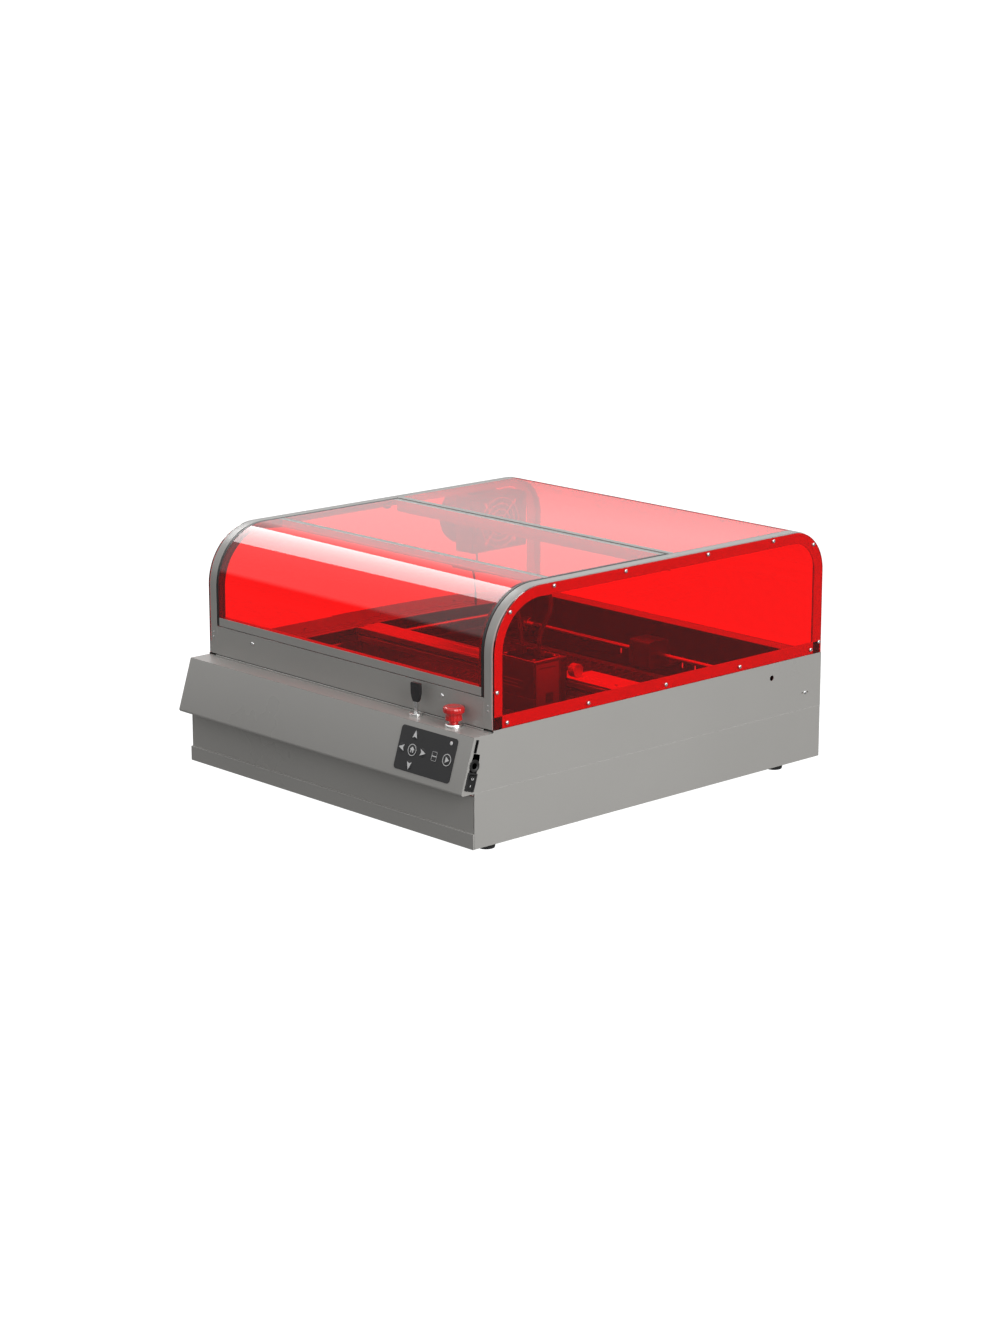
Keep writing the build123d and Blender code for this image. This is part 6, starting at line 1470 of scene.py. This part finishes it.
class CUTTER_OT_gantry(bpy.types.Operator):
    """Add the beam with its end plate, the head's belt and the belt's two pulleys"""
    bl_idname = "cutter.gantry"
    bl_label = "Gantry beam"

    def execute(self, context):
        edge = context.scene.cutter_edges.edge
        low, high = span("gantry_beam")
        y0, y1, z0, z1 = low[1], high[1], low[2], high[2]
        mid_y, mid_z = (y0 + y1) / 2, (z0 + z1) / 2
        slot = 2.0
        section = [(y0, mid_z - slot), (y0, z0), (y1, z0), (y1, mid_z - 2.5), (y1 - 1.4, mid_z - 2.0),
                   (y1 - 1.4, mid_z + 2.0), (y1, mid_z + 2.5), (y1, z1), (mid_y + 12.0, z1),
                   (mid_y + 11.4, z1 - 0.9), (mid_y + 8.6, z1 - 0.9), (mid_y + 8.0, z1),
                   (mid_y - 8.0, z1), (mid_y - 8.6, z1 - 0.9), (mid_y - 11.4, z1 - 0.9), (mid_y - 12.0, z1),
                   (y0, z1), (y0, mid_z + slot), (y0 + SHEET, mid_z + slot), (y0 + SHEET, z1 - SHEET),
                   (y1 - SHEET - 1.0, z1 - SHEET), (y1 - SHEET - 1.0, z0 + SHEET), (y0 + SHEET, z0 + SHEET),
                   (y0 + SHEET, mid_z - slot)]
        shells = [along_x(np.array(section), (low[0] + SHEET, high[0] - SHEET))]
        for side in ((low[0], low[0] + SHEET), (high[0] - SHEET, high[0])):
            shells.append(block(side, (y0, y1), (z0, z1), material=1))
        put_in_scene("beam", shells, [finish("beam_alloy"), finish("black_trim")], "gantry",
                     ["gantry_beam"], edge=0.35)
        low, high = span("gantry_end_plate")
        plate = [block((low[0], high[0]), (low[1], high[1]), (low[2], high[2]))]
        for x in (low[0] + 14.0, high[0] - 14.0):
            plate.append(turned([(0, 0), (2.6, 0), (2.4, 0.9), (1.6, 1.3), (0.9, 1.3), (0.9, 0.5), (0, 0.5)],
                                (x, (low[1] + high[1]) / 2 - 6.0, high[2]), Z_DIR, steps=20, material=1))
        put_in_scene("end_plate", plate, [finish("plate_alloy"), finish("screw_steel")], "gantry",
                     ["gantry_end_plate"], edge=edge)
        low, high = span("x_belt")
        centre = (low + high) / 2
        reach = (high[1] - low[1]) / 2
        length = high[0] - low[0] - 2 * reach
        belt = belt_shell(length, HEAD_WHEEL + 0.2, BELT_WIDTH, lambda points: points + centre)
        put_in_scene("head_belt", [belt], [finish("belt_rubber")], "gantry", ["x_belt"])
        left, right = centre - (length / 2, 0, 0), centre + (length / 2, 0, 0)
        shaft_low = span("x_drive_pulley")[0][2]
        driver = [toothed_wheel(HEAD_WHEEL, 2.4, origin=left, axis=Z_DIR),
                  turned([(0, shaft_low), (2.5, shaft_low), (2.5, centre[2] + 4.6), (0, centre[2] + 4.6)],
                         (left[0], left[1], 0), steps=24)]
        put_in_scene("head_belt_driver", driver, [finish("pulley_alloy")], "x_pulley",
                     ["x_drive_pulley"])
        idler = toothed_wheel(HEAD_WHEEL, IDLER_BORE, origin=right, axis=Z_DIR)
        put_in_scene("head_belt_idler", [idler], [finish("pulley_alloy")], "x_idler",
                     ["x_idler_pulley"])
        return {"FINISHED"}


# ---- laser head ------------------------------------------------------------------------------------
POST_HEIGHT = 12.0
NOZZLE_DROP = 12.0
CABLE_R = 3.0


class CUTTER_OT_laser_head(bpy.types.Operator):
    """Add the carriage, the laser head, its nozzle, the focus knob and the cable loop"""
    bl_idname = "cutter.laser_head"
    bl_label = "Laser head"

    def execute(self, context):
        edge = context.scene.cutter_edges.edge
        refined("head_carriage", "head_slide", finish("bracket_black"), edge)
        knob_low, knob_high = span("focus_knob")
        _, knob_y, knob_z = middle_of("focus_knob")
        outer = knob_high[0]
        profile = [(0, knob_low[0]), (2.5, knob_low[0]), (2.5, outer - 12.0), (8.6, outer - 12.0),
                   (9.4, outer - 11.4), (9.5, outer - 11.0), (9.5, outer - 4.2), (8.7, outer - 3.8),
                   (8.7, outer - 3.0), (9.5, outer - 2.6), (9.5, outer - 0.8), (8.9, outer - 0.1),
                   (6.8, outer), (6.4, outer - 0.6), (0, outer - 0.6)]

        def knurl(turn, row):
            return 1 - np.where((row == 5) | (row == 6), 0.05, 0.0) * (0.5 + 0.5 * np.cos(30 * turn))
        knob = turned(profile, (0, knob_y, knob_z), X_DIR, steps=240, ripple=knurl)
        put_in_scene("focus_wheel", [knob], [finish("pulley_alloy")], "focus_knob",
                     ["focus_knob"])

        low, high = span("laser_head")
        post_top = high[2]
        top = post_top - POST_HEIGHT
        x, y = (low[0], high[0]), (low[1], high[1])
        cx, cy, _ = middle_of("laser_head")
        groove = 5.3
        outline = [(x[0] + 3, y[0]), (x[1] - 3, y[0]), (x[1] - 0.9, y[0] + 0.9), (x[1], y[0] + 3),
                   (x[1], y[1] - 3), (x[1] - 0.9, y[1] - 0.9), (x[1] - 3, y[1]), (cx + groove, y[1]),
                   (cx + groove, y[1] - 4.0), (cx - groove, y[1] - 4.0), (cx - groove, y[1]),
                   (x[0] + 3, y[1]), (x[0] + 0.9, y[1] - 0.9), (x[0], y[1] - 3), (x[0], y[0] + 3),
                   (x[0] + 0.9, y[0] + 0.9)]
        inset = np.array([cx, cy]) + (np.array(outline) - (cx, cy)) * np.array([0.975, 0.97])
        levels = [(outline, low[2]), (outline, low[2] + 22.0), (inset, low[2] + 22.6), (inset, low[2] + 24.0),
                  (outline, low[2] + 24.6), (outline, top - 3.0), (inset, top - 2.6), (inset, top)]
        rows = [np.column_stack([np.array(loop), np.full(len(outline), level)]) for loop, level in levels]
        shells = [grid_shell(np.stack(rows))]
        without_groove = np.array(outline[:7] + outline[11:])
        shells.append(prism(without_groove, (top - 2.2, top), material=1))
        for i in range(4):
            slot_x = x[0] + 14.0 + i * 5.0
            shells.append(block((slot_x, slot_x + 2.4), (y[0] - 0.35, y[0] + 1), (top - 22.0, top - 9.0),
                                material=2))
        for row, wide in ((30.0, 40.0), (35.0, 30.0), (40.0, 36.0)):
            shells.append(block((x[0] + 9.0, x[0] + 9.0 + wide), (y[0] - 0.2, y[0] + 1),
                                (top - row - 1.6, top - row), material=3))
        side = [(y[0] + 5.0, low[2] + 4.0), (y[1] - 5.0, low[2] + 4.0), (y[1] - 5.0, top - 6.0),
                (y[0] + 5.0, top - 6.0)]
        shells.append(along_x(np.array(side), (x[1] - 1.0, x[1] + 0.35), material=3))
        shells.append(block((x[1] - 1.0, x[1] + 0.6), (cy - 16.0, cy + 14.0), (top - 13.0, top - 11.4),
                            material=2))
        shells.append(block((x[1] - 1.0, x[1] + 0.6), (cy - 4.0, cy + 10.0), (low[2] + 14.0, low[2] + 28.0),
                            material=2))
        for sx in (-1, 1):
            post = (cx + sx * (x[1] - x[0]) / 4, cy)
            shells.append(block((post[0] - 7.0, post[0] + 7.0), (post[1] - 4.5, post[1] + 4.5),
                                (top - 0.5, post_top), material=2))
            for sy in (-1, 1):
                shells.append(turned([(0, top), (2.4, top), (2.2, top + 0.9), (1.5, top + 1.2),
                                      (0.9, top + 1.2), (0.9, top + 0.5), (0, top + 0.5)],
                                     (cx + sx * 28.0, cy + sy * 19.0, 0), steps=20, material=4))
        put_in_scene("laser_module", shells,
                     [finish("head_black"), finish("plate_alloy"), finish("port_black"), finish("side_grey"),
                      finish("screw_steel")], "laser", ["laser_head"], edge=0.4)

        tip = low[2] - NOZZLE_DROP
        nozzle = hollow([(2.0, tip), (3.6, tip), (4.0, tip + 0.4), (6.8, low[2] - 3.4), (7.2, low[2] - 3.0),
                         (8.0, low[2] - 2.8), (8.0, low[2] - 0.1), (2.0, low[2] - 0.1), (2.0, tip)],
                        (cx, cy, 0), steps=48)
        put_in_scene("lens_cone", [nozzle], [finish("pulley_alloy")], "laser",
                     ["lens_nozzle"])

        reach = (x[1] - x[0]) / 4
        route = [(cx - reach, cy, post_top), (cx - reach, cy, post_top + 22),
                 (cx - reach - 14, cy + 4, post_top + 47), (cx - reach - 12, cy + 9, post_top + 73),
                 (cx, cy + 14, post_top + 90), (cx + reach + 13, cy + 11, post_top + 76),
                 (cx + reach + 16, cy + 6, post_top + 48), (cx + reach, cy, post_top + 22),
                 (cx + reach, cy, post_top)]
        curve = bpy.data.curves.new("head_cable", "CURVE")
        curve.dimensions = "3D"
        curve.bevel_depth = CABLE_R * MM
        curve.bevel_resolution = 4
        curve.resolution_u = 16
        spline = curve.splines.new("NURBS")
        spline.points.add(len(route) - 1)
        for point, place in zip(spline.points, route):
            point.co = (*(np.array(place) * MM + SHIFT), 1.0)
        spline.order_u = 3
        spline.use_endpoint_u = True
        curve.materials.append(finish("cable_black"))
        cable = bpy.data.objects.new("head_cable", curve)
        context.scene.collection.objects.link(cable)
        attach(cable, "laser")
        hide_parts("laser_cable")
        return {"FINISHED"}


# ---- studio ----------------------------------------------------------------------------------------
VIEW_TARGET = Vector((0.0232, -0.0014, 0.151))
VIEW_YAW = math.radians(47.04)
VIEW_PITCH = math.radians(13.85)
VIEW_DISTANCE = 4.4097


def aimed(obj, place, target):
    """Put a camera or light at a place, looking at a target."""
    obj.location = place
    obj.rotation_euler = (Vector(target) - Vector(place)).to_track_quat("-Z", "Y").to_euler()
    bpy.context.scene.collection.objects.link(obj)


def softbox(name, direction, distance, size, power):
    """Rectangular area light in a direction from the machine, facing it."""
    light = bpy.data.lights.new(name, "AREA")
    light.shape = "RECTANGLE"
    light.size, light.size_y = size
    light.energy = power
    obj = bpy.data.objects.new(name, light)
    obj.visible_camera = False
    obj.visible_transmission = False
    target = Vector((0.02, 0.0, 0.17))
    aimed(obj, target + Vector(direction).normalized() * distance, target)
    return obj


def studio_sky(settings):
    """White to the camera and through glass; a soft sky above a dimmer floor for other rays."""
    world = bpy.data.worlds.new("studio")
    bpy.context.scene.world = world
    world.use_nodes = True
    tree = world.node_tree
    rays = add_node(tree, "ShaderNodeLightPath")
    place = add_node(tree, "ShaderNodeTexCoord")
    parts = add_node(tree, "ShaderNodeSeparateXYZ", Vector=place.outputs["Generated"])
    diffuse = add_node(tree, "ShaderNodeMapRange", Value=parts.outputs["Z"], in1=-0.1, in2=0.2,
                       in3=settings.ambient * 0.5, in4=settings.ambient)
    glossy = add_node(tree, "ShaderNodeMapRange", Value=parts.outputs["Z"], in1=0.1, in2=0.19,
                      in3=0.2, in4=settings.mirror)
    seen = add_node(tree, "ShaderNodeMath", {"operation": "MAXIMUM"}, in0=rays.outputs["Is Camera Ray"],
                    in1=rays.outputs["Is Transmission Ray"])
    strength = add_node(tree, "ShaderNodeMix", {"data_type": "FLOAT"}, in0=rays.outputs["Is Glossy Ray"],
                        in2=diffuse.outputs[0], in3=glossy.outputs[0])
    strength = add_node(tree, "ShaderNodeMix", {"data_type": "FLOAT"}, in0=seen.outputs[0],
                        in2=strength.outputs[0], in3=1.15)
    background = next(n for n in tree.nodes if n.type == "BACKGROUND")
    background.inputs["Color"].default_value = (1, 1, 1, 1)
    tree.links.new(strength.outputs[0], background.inputs["Strength"])


class CUTTER_OT_studio(bpy.types.Operator):
    """Add the floor, the softboxes, the sky and the camera"""
    bl_idname = "cutter.studio"
    bl_label = "Studio"

    def execute(self, context):
        settings = context.scene.cutter_studio
        mesh = bpy.data.meshes.new("studio_floor")
        reach = 14.0
        mesh.from_pydata([(-reach, -reach, 0), (reach, -reach, 0), (reach, reach, 0), (-reach, reach, 0)], [],
                         [(0, 1, 2, 3)])
        floor = bpy.data.objects.new("studio_floor", mesh)
        context.scene.collection.objects.link(floor)
        material, tree, shader = principled("pale_floor", Roughness=0.9, Specular_IOR_Level=0.0,
                                            Emission_Strength=1.12)
        grain = add_node(tree, "ShaderNodeGroup", {"node_tree": grain_group()}, Fine_Scale=40.0)
        tree.links.new(mixed(tree, grain.outputs["Mottle"], (0.07, 0.07, 0.07), (0.08, 0.08, 0.08)),
                       shader.inputs["Base Color"])
        shader.inputs["Emission Color"].default_value = (1, 1, 1, 1)
        mesh.materials.append(material)
        floor.visible_glossy = False
        floor.visible_diffuse = False
        softbox("side_softbox", (0.93, -0.12, 0.35), 3.2, (2.4, 2.0), settings.key)
        strip = softbox("low_strip", (-0.71, -0.69, 0.15), 3.0, (3.0, 0.55), settings.strip)
        strip.visible_glossy = False
        softbox("upper_box", (-0.71, 0.05, 0.63), 3.0, (1.6, 1.0), settings.upper)
        studio_sky(settings)
        camera_data = bpy.data.cameras.new("studio_camera")
        camera_data.lens = settings.lens
        camera_data.sensor_width = 36.0
        camera = bpy.data.objects.new("studio_camera", camera_data)
        away = Vector((math.sin(VIEW_YAW) * math.cos(VIEW_PITCH), -math.cos(VIEW_YAW) * math.cos(VIEW_PITCH),
                       math.sin(VIEW_PITCH)))
        aimed(camera, VIEW_TARGET + away * VIEW_DISTANCE, VIEW_TARGET)
        context.scene.camera = camera
        context.scene.view_settings.view_transform = "Standard"
        return {"FINISHED"}


# ---- add-on ----------------------------------------------------------------------------------------
OPERATORS = (CUTTER_OT_studio, CUTTER_OT_sheet_metal, CUTTER_OT_arches, CUTTER_OT_windows, CUTTER_OT_lid,
             CUTTER_OT_screws, CUTTER_OT_keypad, CUTTER_OT_key_switch, CUTTER_OT_emergency_stop,
             CUTTER_OT_ports, CUTTER_OT_electronics, CUTTER_OT_exhaust_fan, CUTTER_OT_bed, CUTTER_OT_drive,
             CUTTER_OT_gantry, CUTTER_OT_laser_head)
SETTINGS = {"cutter_paint": CutterPaint, "cutter_acrylic": CutterAcrylic, "cutter_edges": CutterEdges,
            "cutter_studio": CutterStudio}


class CUTTER_PT_panel(bpy.types.Panel):
    """Settings and pieces of the laser cutter"""
    bl_idname = "CUTTER_PT_panel"
    bl_label = "Laser Cutter"
    bl_space_type = "VIEW_3D"
    bl_region_type = "UI"
    bl_category = "Laser Cutter"

    def draw(self, context):
        for group_name, group in SETTINGS.items():
            box = self.layout.box()
            for prop_name in group.__annotations__:
                box.prop(getattr(context.scene, group_name), prop_name)
        for operator in OPERATORS:
            self.layout.operator(operator.bl_idname)


def register():
    for group in SETTINGS.values():
        bpy.utils.register_class(group)
    for operator in OPERATORS:
        bpy.utils.register_class(operator)
    bpy.utils.register_class(CUTTER_PT_panel)
    for name, group in SETTINGS.items():
        setattr(bpy.types.Scene, name, PointerProperty(type=group))


def unregister():
    for name in SETTINGS:
        delattr(bpy.types.Scene, name)
    bpy.utils.unregister_class(CUTTER_PT_panel)
    for cls in reversed((*SETTINGS.values(), *OPERATORS)):
        bpy.utils.unregister_class(cls)


def main():
    """Register the add-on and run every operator."""
    register()
    for operator in OPERATORS:
        group, call = operator.bl_idname.split(".")
        getattr(getattr(bpy.ops, group), call)()


if __name__ == "__main__":
    main()
